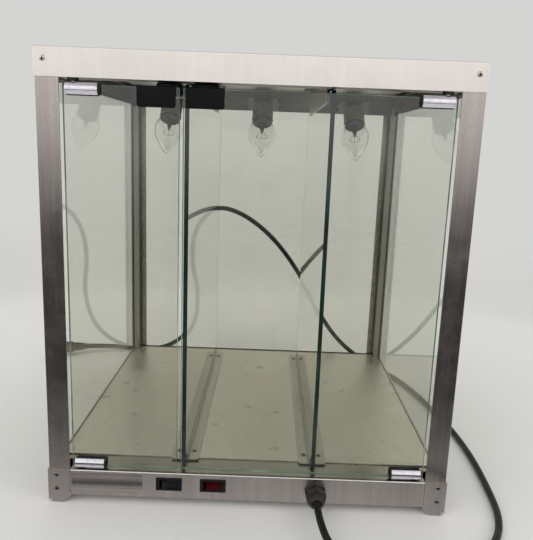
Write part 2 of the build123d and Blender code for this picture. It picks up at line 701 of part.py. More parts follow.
def cable_gland():
    """Hex flange outside, threaded barrel through the panel, lock nut inside."""
    flange = hexagon(-OUT_Y - GLAND_FLANGE - 0.2, -OUT_Y - 0.2, GLAND_HEX, GLAND_TURN)
    barrel = rod((GLAND_X, -OUT_Y - GLAND_FLANGE, GLAND_Z), (GLAND_X, 14 - OUT_Y, GLAND_Z), GLAND_THREAD_R)
    neck = rod((GLAND_X, -OUT_Y - 15, GLAND_Z), (GLAND_X, -OUT_Y, GLAND_Z), 8.2)
    lock_nut = hexagon(GAUGE + 0.2 - OUT_Y, GAUGE + 5 - OUT_Y, 12.4)
    bore = rod((GLAND_X, -OUT_Y - 30, GLAND_Z), (GLAND_X, 20 - OUT_Y, GLAND_Z), CORD_D / 2 + 0.6)
    return flange + barrel + neck + lock_nut - bore


def gland_nut():
    """Hex dome nut that tapers to the cord."""
    near = -OUT_Y - GLAND_FLANGE - 0.5
    nut = hexagon(near - 10, near, 12.9)
    dome = Plane(origin=(GLAND_X, near - 10, GLAND_Z), z_dir=(0, -1, 0)) * Cone(
        11.2, 6.6, GLAND_NUT - 10, align=(Align.CENTER, Align.CENTER, Align.MIN),
    )
    inner = rod((GLAND_X, near - 10, GLAND_Z), (GLAND_X, near + 1, GLAND_Z), 8.2 + GAP)
    bore = rod((GLAND_X, near - GLAND_NUT - 1, GLAND_Z), (GLAND_X, near, GLAND_Z), CORD_D / 2 + 0.1)
    return nut + dome - inner - bore


def rating_label():
    """Blank foil label."""
    middle = (FOOT_HEIGHT + BASE_TOP) / 2 + 0.4
    label = slab(
        LABEL_X - LABEL_WIDTH / 2, LABEL_X + LABEL_WIDTH / 2, -OUT_Y - 0.25, -OUT_Y - 0.05,
        middle - LABEL_HEIGHT / 2, middle + LABEL_HEIGHT / 2,
    )
    return fillet(label.edges().filter_by(Axis.Y), 1.5)


# ---------------------------------------------------------------- inside the base
HEATER_Z = 31.0
HEATER_R = 3.2


def heater_element():
    """Tubular element bent into three passes under the deck."""
    route = [
        (-150, -150, HEATER_Z), (-150, 140, HEATER_Z), (-50, 140, HEATER_Z), (-50, -110, HEATER_Z),
        (50, -110, HEATER_Z), (50, 140, HEATER_Z), (150, 140, HEATER_Z), (150, -150, HEATER_Z),
    ]
    path = FilletPolyline(*route, radius=30)
    section = Plane(origin=route[0], z_dir=(0, 1, 0)) * Circle(HEATER_R)
    return sweep(section, path=path)


def heater_clip(x, y):
    """Spring clip that stands on the pan and carries the element."""
    floor = FOOT_HEIGHT + GAUGE + GAP + PAN_GAUGE + GAP
    foot = slab(x - 12, x + 12, y - 6, y + 6, floor, floor + 1)
    upright = slab(x - 4.6, x + 4.6, y - 6, y + 6, floor, HEATER_Z + 1)
    seat = rod((x, y - 8, HEATER_Z), (x, y + 8, HEATER_Z), HEATER_R + GAP)
    return foot + upright - seat


def thermostat():
    """Snap-disc thermostat under the deck, with two blades."""
    top = BASE_TOP - 2
    can = Pos(0, 40, top - 4) * Cylinder(8.5, 8)
    flange = Pos(0, 40, top - 0.5) * Cylinder(12, 1)
    body = can + flange
    for side in (-1, 1):
        body = body + slab(side * 5 - 0.4, side * 5 + 0.4, 37, 43, top - 15, top - 7)
    return body


def terminal_block():
    """Screw terminal block on the pan, with its row of wells."""
    floor = FOOT_HEIGHT + GAUGE + GAP + PAN_GAUGE + GAP
    block = slab(60, 110, -180, -162, floor, floor + 15)
    for step in range(4):
        block = block - Pos(66.5 + 12.4 * step, -171, floor + 15) * Cylinder(2.6, 16)
    return block


def wiring_loom():
    """Lamp loom behind the lamp rail and down the right rear bar, and the base leads."""
    drop_x = BAR_OUT_X - BAR_WIDTH / 2
    rear = LAMP_RAIL_Y + GAUGE + LOOM_R + 1
    lamp_run = [
        (LAMP_XS[0], rear, LOOM_Z), (drop_x, rear, LOOM_Z), (drop_x, LOOM_Y - 1, LOOM_Z),
        (drop_x, LOOM_Y - 1, 25),
    ]
    base_run = [(GLAND_X, 24 - OUT_Y, GLAND_Z), (GLAND_X, LOOM_CROSS, GLAND_Z)]
    switch_run = [(0, LOOM_CROSS, 24), (LIGHT_SWITCH_X, LOOM_CROSS, 24), (-120, -160, 24), (-120, 100, 24)]
    path = FilletPolyline(*lamp_run, radius=2.5)
    loom = [
        sweep(Plane(origin=lamp_run[0], z_dir=(1, 0, 0)) * Circle(LOOM_R), path=path),
        rod(*base_run, LOOM_R),
    ]
    path = FilletPolyline(*switch_run, radius=12)
    loom.append(sweep(Plane(origin=switch_run[0], z_dir=(-1, 0, 0)) * Circle(LOOM_R), path=path))
    return group(loom)


# ---------------------------------------------------------------- power cord
# Out of the gland, along the worktop round the right side, behind the case in a tall loop
# that leans on the rear pane, then along the worktop to the left, where the plug lies.
CORD_ROUTE = [
    (GLAND_X, -259.5, GLAND_Z), (84, -288, 22), (95, -318, 10), (122, -341, 4.5), (164, -350, 4.5),
    (222, -340, 4.5), (274, -306, 4.5), (306, -250, 4.5), (316, -170, 4.5), (321, -75, 4.5),
    (314, 25, 4.5), (300, 120, 4.5), (276, 205, 4.5), (238, 268, 6), (186, 292, 30),
    (140, 290, 80), (104, 272, 148), (64, 251, 216), (18, 239.5, 272), (-38, 237, 312),
    (-88, 237, 322), (-128, 241, 282), (-137, 253, 215), (-122, 270, 140), (-134, 290, 66),
    (-176, 305, 22), (-232, 318, 5.5), (-280, 329, 4.8), (-322, 322, 9.5), (-358, 304, 12.8),
]


def cord_radii(route):
    """The largest arc that each corner's two runs leave room for."""
    points = [Vector(*point) for point in route]
    radii = []
    for before, corner, after in zip(points, points[1:], points[2:]):
        turn = radians((corner - before).get_angle(after - corner))
        shorter = min((corner - before).length, (after - corner).length)
        radii.append(0.45 * shorter / tan(turn / 2))
    return radii


def power_cord():
    radii = cord_radii(CORD_ROUTE)
    print("cord radii", [round(radius) for radius in radii])
    path = FilletPolyline(*CORD_ROUTE, radius=radii)
    start = Vector(*CORD_ROUTE[1]) - Vector(*CORD_ROUTE[0])
    cord = sweep(Plane(origin=CORD_ROUTE[0], z_dir=start) * Circle(CORD_D / 2), path=path)
    print(
        "cord length", round(path.length), "volume over section",
        round(cord.volume / (pi * CORD_D ** 2 / 4)),
    )
    return cord


PLUG_RELIEF = 24.0
PLUG_BODY = 30.0
PLUG_R = 12.2
BLADE = 18.0


def power_plug():
    """Moulded grounded plug with a tapered strain relief."""
    end = Vector(*CORD_ROUTE[-1])
    along = end - Vector(*CORD_ROUTE[-2])
    frame = Plane(origin=end, x_dir=(along.Y, -along.X, 0), z_dir=along)
    low = (Align.CENTER, Align.CENTER, Align.MIN)
    relief = Cone(CORD_D / 2 + 1.4, 8.5, PLUG_RELIEF, align=low)
    relief = relief - Cylinder(CORD_D / 2, PLUG_RELIEF - 4, align=low)
    body = Pos(0, 0, PLUG_RELIEF) * Cylinder(PLUG_R, PLUG_BODY, align=low)
    body = fillet(body.edges(), 2.5)
    face = PLUG_RELIEF + PLUG_BODY
    for side in (-1, 1):
        body = body + slab(side * 6.35 - 0.75, side * 6.35 + 0.75, -0.2, 6.2, face - 1, face + BLADE)
    body = body + Pos(0, -7.5, face - 1) * Cylinder(2.4, BLADE + 3, align=low)
    plug = relief + body
    return frame * plug


# ---------------------------------------------------------------- nodes
SIDES = {"left": -1, "right": 1}
DEPTHS = {"front": -1, "rear": 1}

nodes = {
    "top_cap": top_cap(),
    "front_top_rail": front_top_rail(),
    "rear_top_rail": rear_top_rail(),
    "base_front_panel": base_front_panel(),
    "base_rear_panel": base_rear_panel(),
    "base_pan": base_pan(),
    "deck_plate": deck_plate(),
    "rear_glass": rear_pane(),
    "front_glazing_bars": group(front_glazing_bar(side) for side in (-1, 1)),
    "rear_glazing_bars": group(rear_glazing_bar(side) for side in (-1, 1)),
    "divider_floor_strips": group(floor_strip(x, side) for x in (-DIVIDER_X, DIVIDER_X) for side in (-1, 1)),
    "divider_hanging_guides": group(hanging_guide(x, side) for x in (-DIVIDER_X, DIVIDER_X) for side in (-1, 1)),
    "lamp_rail": lamp_rail(),
    "lamp_sockets": group(lamp_socket(x) for x in LAMP_XS),
    "bulb_envelopes": group(bulb_envelope(x) for x in LAMP_XS),
    "bulb_caps": group(bulb_cap(x) for x in LAMP_XS),
    "bulb_filament_mounts": group(bulb_mount(x) for x in LAMP_XS),
    "pivot_bushings": group(pivot_bushing(side, top) for side in (-1, 1) for top in (True, False)),
    "catch_bodies": group(catch_body(x) for x in (LEFT_CATCH_X, RIGHT_CATCH_X)),
    "switch_housings": group(switch_housing(x) for x in (LIGHT_SWITCH_X, HEAT_SWITCH_X)),
    "light_switch_rocker": rocker(LIGHT_SWITCH_X),
    "heat_switch_rocker": rocker(HEAT_SWITCH_X),
    "cable_gland": cable_gland(),
    "gland_nut": gland_nut(),
    "rating_label": rating_label(),
    "heater_element": heater_element(),
    "heater_clips": group(heater_clip(x, y) for x in (-150, 150) for y in (-60, 60)),
    "thermostat": thermostat(),
    "terminal_block": terminal_block(),
    "wiring_loom": wiring_loom(),
    "power_cord": power_cord(),
    "power_plug": power_plug(),
}

rivets = [pop_rivet(point, outward, SKIN_GRIP) for point, outward in foot_rivet_points() + cap_rivet_points()]
rivets += [pop_rivet(point, outward, 2 * GAUGE + 1) for point, outward in strip_rivet_points()]
nodes["pop_rivets"] = group(rivets)

for name, side in SIDES.items():
    nodes[f"{name}_top_rail"] = side_top_rail(side)
    nodes[f"base_{name}_panel"] = base_side_panel(side)
    nodes[f"{name}_side_glass"] = side_pane(side)
    nodes[f"{name}_divider_glass"] = divider(side * DIVIDER_X)
    nodes[f"{name}_door_glass"] = door_glass(side)
    nodes[f"{name}_door_clamps"] = group(pivot_clamp(side, top) for top in (True, False))
    nodes[f"{name}_door_pins"] = group(pivot_pin(side, top) for top in (True, False))
    nodes[f"{name}_strike_plate"] = strike_plate(LEFT_STRIKE_X if side < 0 else RIGHT_STRIKE_X)
    nodes[f"{name}_catch_plunger"] = catch_plunger(LEFT_CATCH_X if side < 0 else RIGHT_CATCH_X)
    for depth, side_y in DEPTHS.items():
        nodes[f"{depth}_{name}_post"] = corner_post(side, side_y)
        nodes[f"{depth}_{name}_foot_bracket"] = foot_bracket(side, side_y)

os.makedirs("parts", exist_ok=True)
for name, shape in nodes.items():
    export_step(shape, f"parts/{name}.step")
print(len(nodes), "nodes")
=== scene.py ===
"""Looks of a three-compartment hot food display case.

Metres in the case's own frame: the origin is the centre of its footprint on the worktop,
+Z is up, the doors face -Y, and +X is to the right when one looks at the doors.
"""

import json
import logging
import math
from dataclasses import dataclass, field
from enum import Enum
from typing import Callable, ClassVar, Iterable, Optional, Sequence

import bmesh
import bpy
from mathutils import Matrix, Vector


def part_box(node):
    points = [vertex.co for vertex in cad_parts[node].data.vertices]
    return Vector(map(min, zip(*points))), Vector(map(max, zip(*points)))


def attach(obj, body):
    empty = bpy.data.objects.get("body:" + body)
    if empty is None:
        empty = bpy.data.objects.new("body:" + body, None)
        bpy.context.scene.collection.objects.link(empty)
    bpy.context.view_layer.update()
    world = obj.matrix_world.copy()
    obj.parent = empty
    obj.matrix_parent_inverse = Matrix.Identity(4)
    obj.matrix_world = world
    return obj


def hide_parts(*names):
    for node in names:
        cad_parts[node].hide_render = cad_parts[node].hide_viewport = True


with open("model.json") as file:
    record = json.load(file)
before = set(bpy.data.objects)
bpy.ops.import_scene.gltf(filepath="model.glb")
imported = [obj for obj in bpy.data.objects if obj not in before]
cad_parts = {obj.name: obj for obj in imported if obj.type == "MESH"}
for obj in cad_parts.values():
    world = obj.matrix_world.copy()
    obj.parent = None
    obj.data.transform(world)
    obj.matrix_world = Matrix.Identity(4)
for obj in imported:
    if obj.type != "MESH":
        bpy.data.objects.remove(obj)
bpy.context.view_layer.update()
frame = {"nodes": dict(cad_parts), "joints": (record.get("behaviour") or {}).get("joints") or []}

log = logging.getLogger("display_case")

Colour = tuple[float, float, float, float]
Outline = list[tuple[float, float]]
Point = tuple[float, float, float]


# ------------------------------------------------------------------ colours and node recipes
def paint(red: float, green: float, blue: float) -> Colour:
    """Turns a colour as the eye reads it into the linear values that shaders take.

    Args:
        red: Red, from 0 to 255.
        green: Green, from 0 to 255.
        blue: Blue, from 0 to 255.

    Returns:
        The linear colour with full alpha.
    """
    shares = [value / 255 for value in (red, green, blue)]
    linear = [s / 12.92 if s <= 0.04045 else ((s + 0.055) / 1.055) ** 2.4 for s in shares]
    return (linear[0], linear[1], linear[2], 1.0)


class Recipe:
    """A node material while it is being put together."""

    def __init__(self, name: str) -> None:
        """Starts a material with one Principled shader.

        Args:
            name: The material's name.
        """
        self.material = bpy.data.materials.new(name)
        self.material.use_nodes = True
        self.tree = self.material.node_tree
        self.surface = self.tree.nodes["Principled BSDF"]
        self.place = self.node("ShaderNodeTexCoord").outputs["Object"]

    def node(self, kind: str, **settings: object) -> bpy.types.Node:
        """Adds a node and sets its options.

        Args:
            kind: The node's type.
            settings: Its options by name.

        Returns:
            The new node.
        """
        made = self.tree.nodes.new(kind)
        for name, value in settings.items():
            setattr(made, name, value)
        return made

    def feed(self, socket: bpy.types.NodeSocket, value: object) -> None:
        """Links a socket to another one, or sets its value.

        Args:
            socket: The input to fill.
            value: An output socket, or a plain value.
        """
        if isinstance(value, bpy.types.NodeSocket):
            self.tree.links.new(value, socket)
        else:
            socket.default_value = value

    def noise(self, size: Point, detail: float = 2.0, turn: Point = (0, 0, 0)) -> bpy.types.NodeSocket:
        """Cloudy noise with features of a given size.

        Args:
            size: How large a feature is along each axis, in metres.
            detail: How many finer layers it has.
            turn: How the axes are turned, in radians.

        Returns:
            The noise, from 0 to 1 and mostly near a half.
        """
        mapping = self.node("ShaderNodeMapping", vector_type="TEXTURE")
        self.feed(mapping.inputs["Vector"], self.place)
        self.feed(mapping.inputs["Rotation"], turn)
        self.feed(mapping.inputs["Scale"], size)
        texture = self.node("ShaderNodeTexNoise")
        self.feed(texture.inputs["Vector"], mapping.outputs["Vector"])
        self.feed(texture.inputs["Scale"], 1.0)
        self.feed(texture.inputs["Detail"], detail)
        return texture.outputs[0]

    def ranged(
        self, source: bpy.types.NodeSocket, low: float, high: float, start: float = 0.35, end: float = 0.65
    ) -> bpy.types.NodeSocket:
        """Stretches a part of a value's range to another range.

        Args:
            source: The value.
            low: What start becomes.
            high: What end becomes.
            start: The lower end of the part that counts.
            end: The upper end of the part that counts.

        Returns:
            The stretched value.
        """
        made = self.node("ShaderNodeMapRange", clamp=True)
        for socket, value in zip(made.inputs, (source, start, end, low, high)):
            self.feed(socket, value)
        return made.outputs[0]

    def weighed(self, parts: Sequence[tuple[bpy.types.NodeSocket, float]]) -> bpy.types.NodeSocket:
        """Adds values up by their weights.

        Args:
            parts: Pairs of a value and its weight.

        Returns:
            The sum.
        """
        total = None
        for source, weight in parts:
            step = self.node("ShaderNodeMath", operation="MULTIPLY_ADD")
            for socket, value in zip(step.inputs, (source, weight, 0.0 if total is None else total)):
                self.feed(socket, value)
            total = step.outputs[0]
        return total

    def mixed(self, factor: object, first: object, second: object) -> bpy.types.NodeSocket:
        """Mixes two colours.

        Args:
            factor: 0 for the first colour, 1 for the second.
            first: A colour or a colour socket.
            second: A colour or a colour socket.

        Returns:
            The mixed colour.
        """
        made = self.node("ShaderNodeMix", data_type="RGBA")
        for name, value in (("Factor_Float", factor), ("A_Color", first), ("B_Color", second)):
            self.feed(next(s for s in made.inputs if s.identifier == name), value)
        return next(s for s in made.outputs if s.identifier == "Result_Color")

    def relief(self, height: bpy.types.NodeSocket, strength: float, depth: float) -> None:
        """Raises and sinks the surface a little.

        Args:
            height: The height pattern.
            strength: How strongly it shows.
            depth: How deep it is, in metres.
        """
        bump = self.node("ShaderNodeBump")
        for name, value in (("Height", height), ("Strength", strength), ("Distance", depth)):
            self.feed(bump.inputs[name], value)
        self.feed(self.surface.inputs["Normal"], bump.outputs[0])

    def dress(self, **values: object) -> None:
        """Fills the Principled shader's sockets, which are named with _ for each space."""
        for name, value in values.items():
            self.feed(self.surface.inputs[name.replace("_", " ")], value)

    def show(self, shader: bpy.types.NodeSocket) -> None:
        """Makes a shader the material's surface."""
        self.feed(self.tree.nodes["Material Output"].inputs["Surface"], shader)

    def either(self, factor: object, first: object, second: object) -> bpy.types.NodeSocket:
        """Mixes two shaders.

        Args:
            factor: 0 for the first shader, 1 for the second.
            first: A shader socket.
            second: A shader socket.

        Returns:
            The mixed shader.
        """
        made = self.node("ShaderNodeMixShader")
        for socket, value in zip(made.inputs, (factor, first, second)):
            self.feed(socket, value)
        return made.outputs[0]


# ------------------------------------------------------------------ finishes
class Grain(Enum):
    """The way the polishing lines of a sheet run."""

    ALONG_X = 0
    ALONG_Y = 1
    ALONG_Z = 2

    def sized(self, across: float, along: float) -> Point:
        """The size of a streak along each axis."""
        sizes = [across] * 3
        sizes[self.value] = along
        return (sizes[0], sizes[1], sizes[2])


@dataclass(frozen=True)
class Finish:
    """A finish that is made once and shared by every piece that wears it."""

    name: str
    made: ClassVar[dict[str, bpy.types.Material]] = {}

    def material(self) -> bpy.types.Material:
        """The finish's material, made on first use."""
        if self.name not in Finish.made:
            Finish.made[self.name] = self.build()
        return Finish.made[self.name]

    def build(self) -> bpy.types.Material:
        """Makes the material."""
        raise NotImplementedError


@dataclass(frozen=True)
class BrushedSheet(Finish):
    """Sheet metal with polishing lines, cloudy patches, fine scratches and finger marks; if asked, a painted highlight
    on rounded bends and painted shade on flat faces that look straight up.
    """

    light: Colour
    dark: Colour
    grain: Grain
    roughness: float = 0.36
    scratches: float = 0.25
    lines: float = 0.3
    pull: float = 0.5
    ledge_shade: Optional[Colour] = None
    fold_highlight: Colour = paint(250, 248, 244)

    def build(self) -> bpy.types.Material:
        """Makes the material."""
        recipe = Recipe(self.name)
        hairs = recipe.noise(self.grain.sized(0.0009, 0.06), detail=3)
        bands = recipe.noise(self.grain.sized(0.007, 0.5), detail=3)
        clouds = recipe.noise((0.05, 0.05, 0.05), detail=5)
        grime = recipe.noise((0.012, 0.012, 0.012), detail=5)
        shade = recipe.weighed([(hairs, self.lines), (bands, 0.8 - self.lines), (clouds, 0.2)])
        colour = recipe.mixed(recipe.ranged(shade, 0, 1, 0.36, 0.62), self.dark, self.light)
        marks = recipe.noise((0.0007, 0.04, 0.0009), detail=0, turn=(0.6, 0.3, 0.9))
        colour = recipe.mixed(
            recipe.ranged(marks, 0, self.scratches, 0.70, 0.76), colour, paint(240, 238, 232)
        )
        # Painted light by facing: faces tilted up past a bend get a painted highlight, and flat faces looking straight
        # up get painted shade.
        if self.ledge_shade:
            facing = recipe.node("ShaderNodeSeparateXYZ")
            recipe.feed(facing.inputs[0], recipe.node("ShaderNodeNewGeometry").outputs["Normal"])
            colour = recipe.mixed(recipe.ranged(facing.outputs["Z"], 0, 1, 0.15, 0.3), colour, self.fold_highlight)
            colour = recipe.mixed(recipe.ranged(facing.outputs["Z"], 0, 1, 0.93, 0.97), colour, self.ledge_shade)
        dull = recipe.weighed([(clouds, 0.5), (grime, 0.3), (hairs, 0.2)])
        recipe.dress(
            Base_Color=colour,
            Metallic=1.0,
            Roughness=recipe.ranged(dull, self.roughness - 0.04, self.roughness + 0.05, 0.38, 0.62),
            Anisotropic=self.pull,
        )
        turned = "Y" if self.grain is Grain.ALONG_Y else "Z"
        tangent = recipe.node("ShaderNodeTangent", direction_type="RADIAL", axis=turned)
        recipe.feed(recipe.surface.inputs["Tangent"], tangent.outputs[0])
        recipe.relief(recipe.weighed([(hairs, 0.5), (clouds, 0.15)]), 0.1, 0.0002)
        return recipe.material


@dataclass(frozen=True)
class DeckSheet(Finish):
    """The food deck: dull sheet with wiped streaks, round water stains and scattered specks."""

    light: Colour
    dark: Colour
    stain: Colour
    roughness: float = 0.4

    def build(self) -> bpy.types.Material:
        """Makes the material."""
        recipe = Recipe(self.name)
        wiped = recipe.noise((0.009, 0.16, 0.009), detail=4, turn=(0, 0, 0.35))
        clouds = recipe.noise((0.09, 0.09, 0.09), detail=5)
        hairs = recipe.noise((0.0011, 0.05, 0.0011), detail=2)
        blots = recipe.noise((0.022, 0.03, 0.022), detail=1)
        specks = recipe.noise((0.0035, 0.0035, 0.0035), detail=0)
        shade = recipe.weighed([(wiped, 0.35), (clouds, 0.5), (hairs, 0.15)])
        colour = recipe.mixed(recipe.ranged(shade, 0, 1, 0.38, 0.62), self.dark, self.light)
        colour = recipe.mixed(recipe.ranged(blots, 0, 0.45, 0.67, 0.73), colour, self.stain)
        colour = recipe.mixed(recipe.ranged(specks, 0, 0.6, 0.79, 0.82), colour, self.stain)
        rough = recipe.weighed([(wiped, 0.4), (clouds, 0.6)])
        recipe.dress(
            Base_Color=colour,
            Metallic=0.85,
            Roughness=recipe.ranged(rough, self.roughness - 0.12, self.roughness + 0.12, 0.38, 0.62),
            Anisotropic=0.35,
        )
        tangent = recipe.node("ShaderNodeTangent", direction_type="RADIAL", axis="Y")
        recipe.feed(recipe.surface.inputs["Tangent"], tangent.outputs[0])
        recipe.relief(recipe.weighed([(clouds, 3.0), (hairs, 0.4)]), 0.2, 0.0004)
        return recipe.material


@dataclass(frozen=True)
class PlainMetal(Finish):
    """Plated, cast or drawn metal: a small part with handling marks."""

    colour: Colour
    worn: Colour
    roughness: float = 0.2
    mottle: float = 0.004
    bump: float = 0.15

    def build(self) -> bpy.types.Material:
        """Makes the material."""
        recipe = Recipe(self.name)
        mottle = recipe.noise((self.mottle, self.mottle, self.mottle), detail=4)
        rubs = recipe.noise((0.0005, 0.006, 0.0005), detail=1, turn=(0.4, 0.7, 0.2))
        recipe.dress(
            Base_Color=recipe.mixed(recipe.ranged(mottle, 0, 1, 0.45, 0.7), self.colour, self.worn),
            Metallic=1.0,
            Roughness=recipe.ranged(mottle, self.roughness, self.roughness + 0.14, 0.4, 0.7),
        )
        recipe.relief(recipe.weighed([(mottle, 0.6), (rubs, 0.4)]), self.bump, 0.0002)
        return recipe.material


@dataclass(frozen=True)
class Moulded(Finish):
    """Moulded plastic, rubber or ceramic with a fine skin texture and worn, paler patches."""

    colour: Colour
    worn: Colour
    roughness: float = 0.45
    grain: float = 0.0007
    relief: float = 0.3
    coat: float = 0.0
    shine: float = 0.5

    def build(self) -> bpy.types.Material:
        """Makes the material."""
        recipe = Recipe(self.name)
        skin = recipe.noise((self.grain, self.grain, self.grain), detail=3)
        wear = recipe.noise((0.011, 0.011, 0.011), detail=5)
        recipe.dress(
            Base_Color=recipe.mixed(recipe.ranged(wear, 0, 1, 0.5, 0.8), self.colour, self.worn),
            Roughness=recipe.ranged(wear, self.roughness - 0.07, self.roughness + 0.12, 0.35, 0.7),
            Specular_IOR_Level=self.shine,
            Coat_Weight=self.coat,
            Coat_Roughness=0.12,
        )
        recipe.relief(skin, self.relief, 0.00015)
        return recipe.material


@dataclass(frozen=True)
class ClearSheet(Finish):
    """A pane seen nearly square on: it lets light straight through and mirrors a little."""

    tint: Colour
    haze: float = 0.03

    def build(self) -> bpy.types.Material:
        """Makes the material."""
        recipe = Recipe(self.name)
        smears = recipe.noise((0.09, 0.03, 0.05), detail=5, turn=(0.2, 0.4, 0.6))
        through = recipe.node("ShaderNodeBsdfTransparent")
        recipe.feed(through.inputs["Color"], self.tint)
        mirror = recipe.node("ShaderNodeBsdfGlossy")
        recipe.feed(mirror.inputs["Roughness"], 0.015)
        dust = recipe.node("ShaderNodeBsdfDiffuse")
        recipe.feed(dust.inputs["Color"], paint(214, 218, 208))
        fresnel = recipe.node("ShaderNodeFresnel")
        recipe.feed(fresnel.inputs["IOR"], 1.7)
        outside = recipe.node("ShaderNodeMath", operation="SUBTRACT")
        recipe.feed(outside.inputs[0], 1.0)
        recipe.feed(outside.inputs[1], recipe.node("ShaderNodeNewGeometry").outputs["Backfacing"])
        share = recipe.node("ShaderNodeMath", operation="MULTIPLY")
        recipe.feed(share.inputs[0], fresnel.outputs[0])
        recipe.feed(share.inputs[1], outside.outputs[0])
        clean = recipe.either(share.outputs[0], through.outputs[0], mirror.outputs[0])
        recipe.show(recipe.either(recipe.ranged(smears, 0.004, self.haze, 0.45, 0.8), clean, dust.outputs[0]))
        recipe.tree.nodes.remove(recipe.surface)
        return recipe.material


@dataclass(frozen=True)
class BendingGlass(Finish):
    """Clear glass that bends what is behind it, and that lamps still shine through."""

    tint: Colour
    ior: float = 1.5

    def build(self) -> bpy.types.Material:
        """Makes the material."""
        recipe = Recipe(self.name)
        film = recipe.noise((0.03, 0.03, 0.03), detail=4)
        recipe.dress(
            Base_Color=self.tint,
            Roughness=recipe.ranged(film, 0.0, 0.03, 0.45, 0.75),
            IOR=self.ior,
            Transmission_Weight=1.0,
        )
        through = recipe.node("ShaderNodeBsdfTransparent")
        recipe.feed(through.inputs["Color"], self.tint)
        ray = recipe.node("ShaderNodeLightPath")
        either = recipe.node("ShaderNodeMath", operation="MAXIMUM")
        recipe.feed(either.inputs[0], ray.outputs["Is Shadow Ray"])
        recipe.feed(either.inputs[1], ray.outputs["Is Diffuse Ray"])
        recipe.show(recipe.either(either.outputs[0], recipe.surface.outputs[0], through.outputs[0]))
        return recipe.material


@dataclass(frozen=True)
class GroundEdge(Finish):
    """The ground edge of a pane, dark where the light has come a long way through the glass."""

    deep: Colour
    pale: Colour

    def build(self) -> bpy.types.Material:
        """Makes the material."""
        recipe = Recipe(self.name)
        runs = recipe.noise((0.05, 0.05, 0.07), detail=3)
        grit = recipe.noise((0.0012, 0.0012, 0.0012), detail=2)
        recipe.dress(
            Base_Color=recipe.mixed(recipe.ranged(runs, 0, 1, 0.5, 0.75), self.deep, self.pale),
            Roughness=recipe.ranged(grit, 0.18, 0.4, 0.4, 0.6),
            Specular_IOR_Level=0.2,
        )
        recipe.relief(grit, 0.2, 0.0001)
        return recipe.material


@dataclass(frozen=True)
class TintedLens(Finish):
    """Clear moulded plastic with a strong colour, as on a lit rocker."""

    colour: Colour
    deep: Colour

    def build(self) -> bpy.types.Material:
        """Makes the material."""
        recipe = Recipe(self.name)
        flow = recipe.noise((0.004, 0.004, 0.004), detail=3)
        skin = recipe.noise((0.0006, 0.0006, 0.0006), detail=2)
        recipe.dress(
            Base_Color=recipe.mixed(recipe.ranged(flow, 0, 1), self.deep, self.colour),
            Roughness=recipe.ranged(skin, 0.14, 0.26, 0.3, 0.7),
            Specular_IOR_Level=0.08,
            Coat_Weight=0.04,
            Coat_Roughness=0.08,
        )
        recipe.relief(skin, 0.03, 0.0001)
        return recipe.material


CAP_SHEET = BrushedSheet(
    "cap_sheet", paint(252, 247, 243), paint(246, 240, 235), Grain.ALONG_Z, 0.46, scratches=0.1, pull=0.3,
    lines=0.5
)
POST_STEEL = BrushedSheet(
    "frame_steel", paint(186, 178, 174), paint(168, 160, 156), Grain.ALONG_Z, 0.24, lines=0.25
)
BAR_STEEL = BrushedSheet(
    "bar_steel", paint(170, 169, 160), paint(158, 157, 148), Grain.ALONG_Z, 0.35, lines=0.3
)
RAIL_STEEL = BrushedSheet("rail_steel", paint(138, 137, 129), paint(120, 119, 112), Grain.ALONG_X, 0.42)
BASE_STEEL = BrushedSheet(
    "base_steel", paint(204, 196, 191), paint(184, 176, 172), Grain.ALONG_Z, 0.3, scratches=0.4
)
# The front panel's rounded top bend gets a painted highlight and its flat top gets painted shade.
FRONT_STEEL = BrushedSheet(
    "front_steel", paint(204, 196, 191), paint(184, 176, 172), Grain.ALONG_Z, 0.3, scratches=0.4,
    ledge_shade=paint(150, 148, 134),
)
# Painted shade: the front glazing bars are darkened to stand for the shaded gap between the posts and the doors.
GAP_SHADE_BAR = BrushedSheet("gap_shade_bar", paint(62, 60, 58), paint(46, 44, 42), Grain.ALONG_Z, 0.4)
DECK_SHEET = DeckSheet("deck_sheet", paint(214, 208, 194), paint(192, 187, 174), paint(148, 144, 132))
STRIP_STEEL = BrushedSheet("strip_steel", paint(184, 182, 168), paint(160, 158, 146), Grain.ALONG_Y, 0.36)
DOOR_GLASS = ClearSheet("door_glass", (0.93, 0.935, 0.905, 1.0))
PANE_GLASS = ClearSheet("pane_glass", (0.93, 0.935, 0.905, 1.0), haze=0.045)
WALL_GLASS = BendingGlass("wall_glass", (0.925, 0.94, 0.90, 1.0))
GLASS_EDGE = GroundEdge("glass_edge", paint(0, 34, 30), paint(3, 56, 50))
DOOR_EDGE = GroundEdge("door_edge", paint(96, 124, 112), paint(190, 202, 186))
RIVET_METAL = PlainMetal("rivet_metal", paint(222, 220, 216), paint(160, 156, 150), 0.22)
# A darker copy of the rivet metal: painted shade on the base and floor-strip rivets.
SHADED_RIVET = PlainMetal("shaded_rivet", paint(150, 144, 138), paint(110, 104, 98), 0.32)
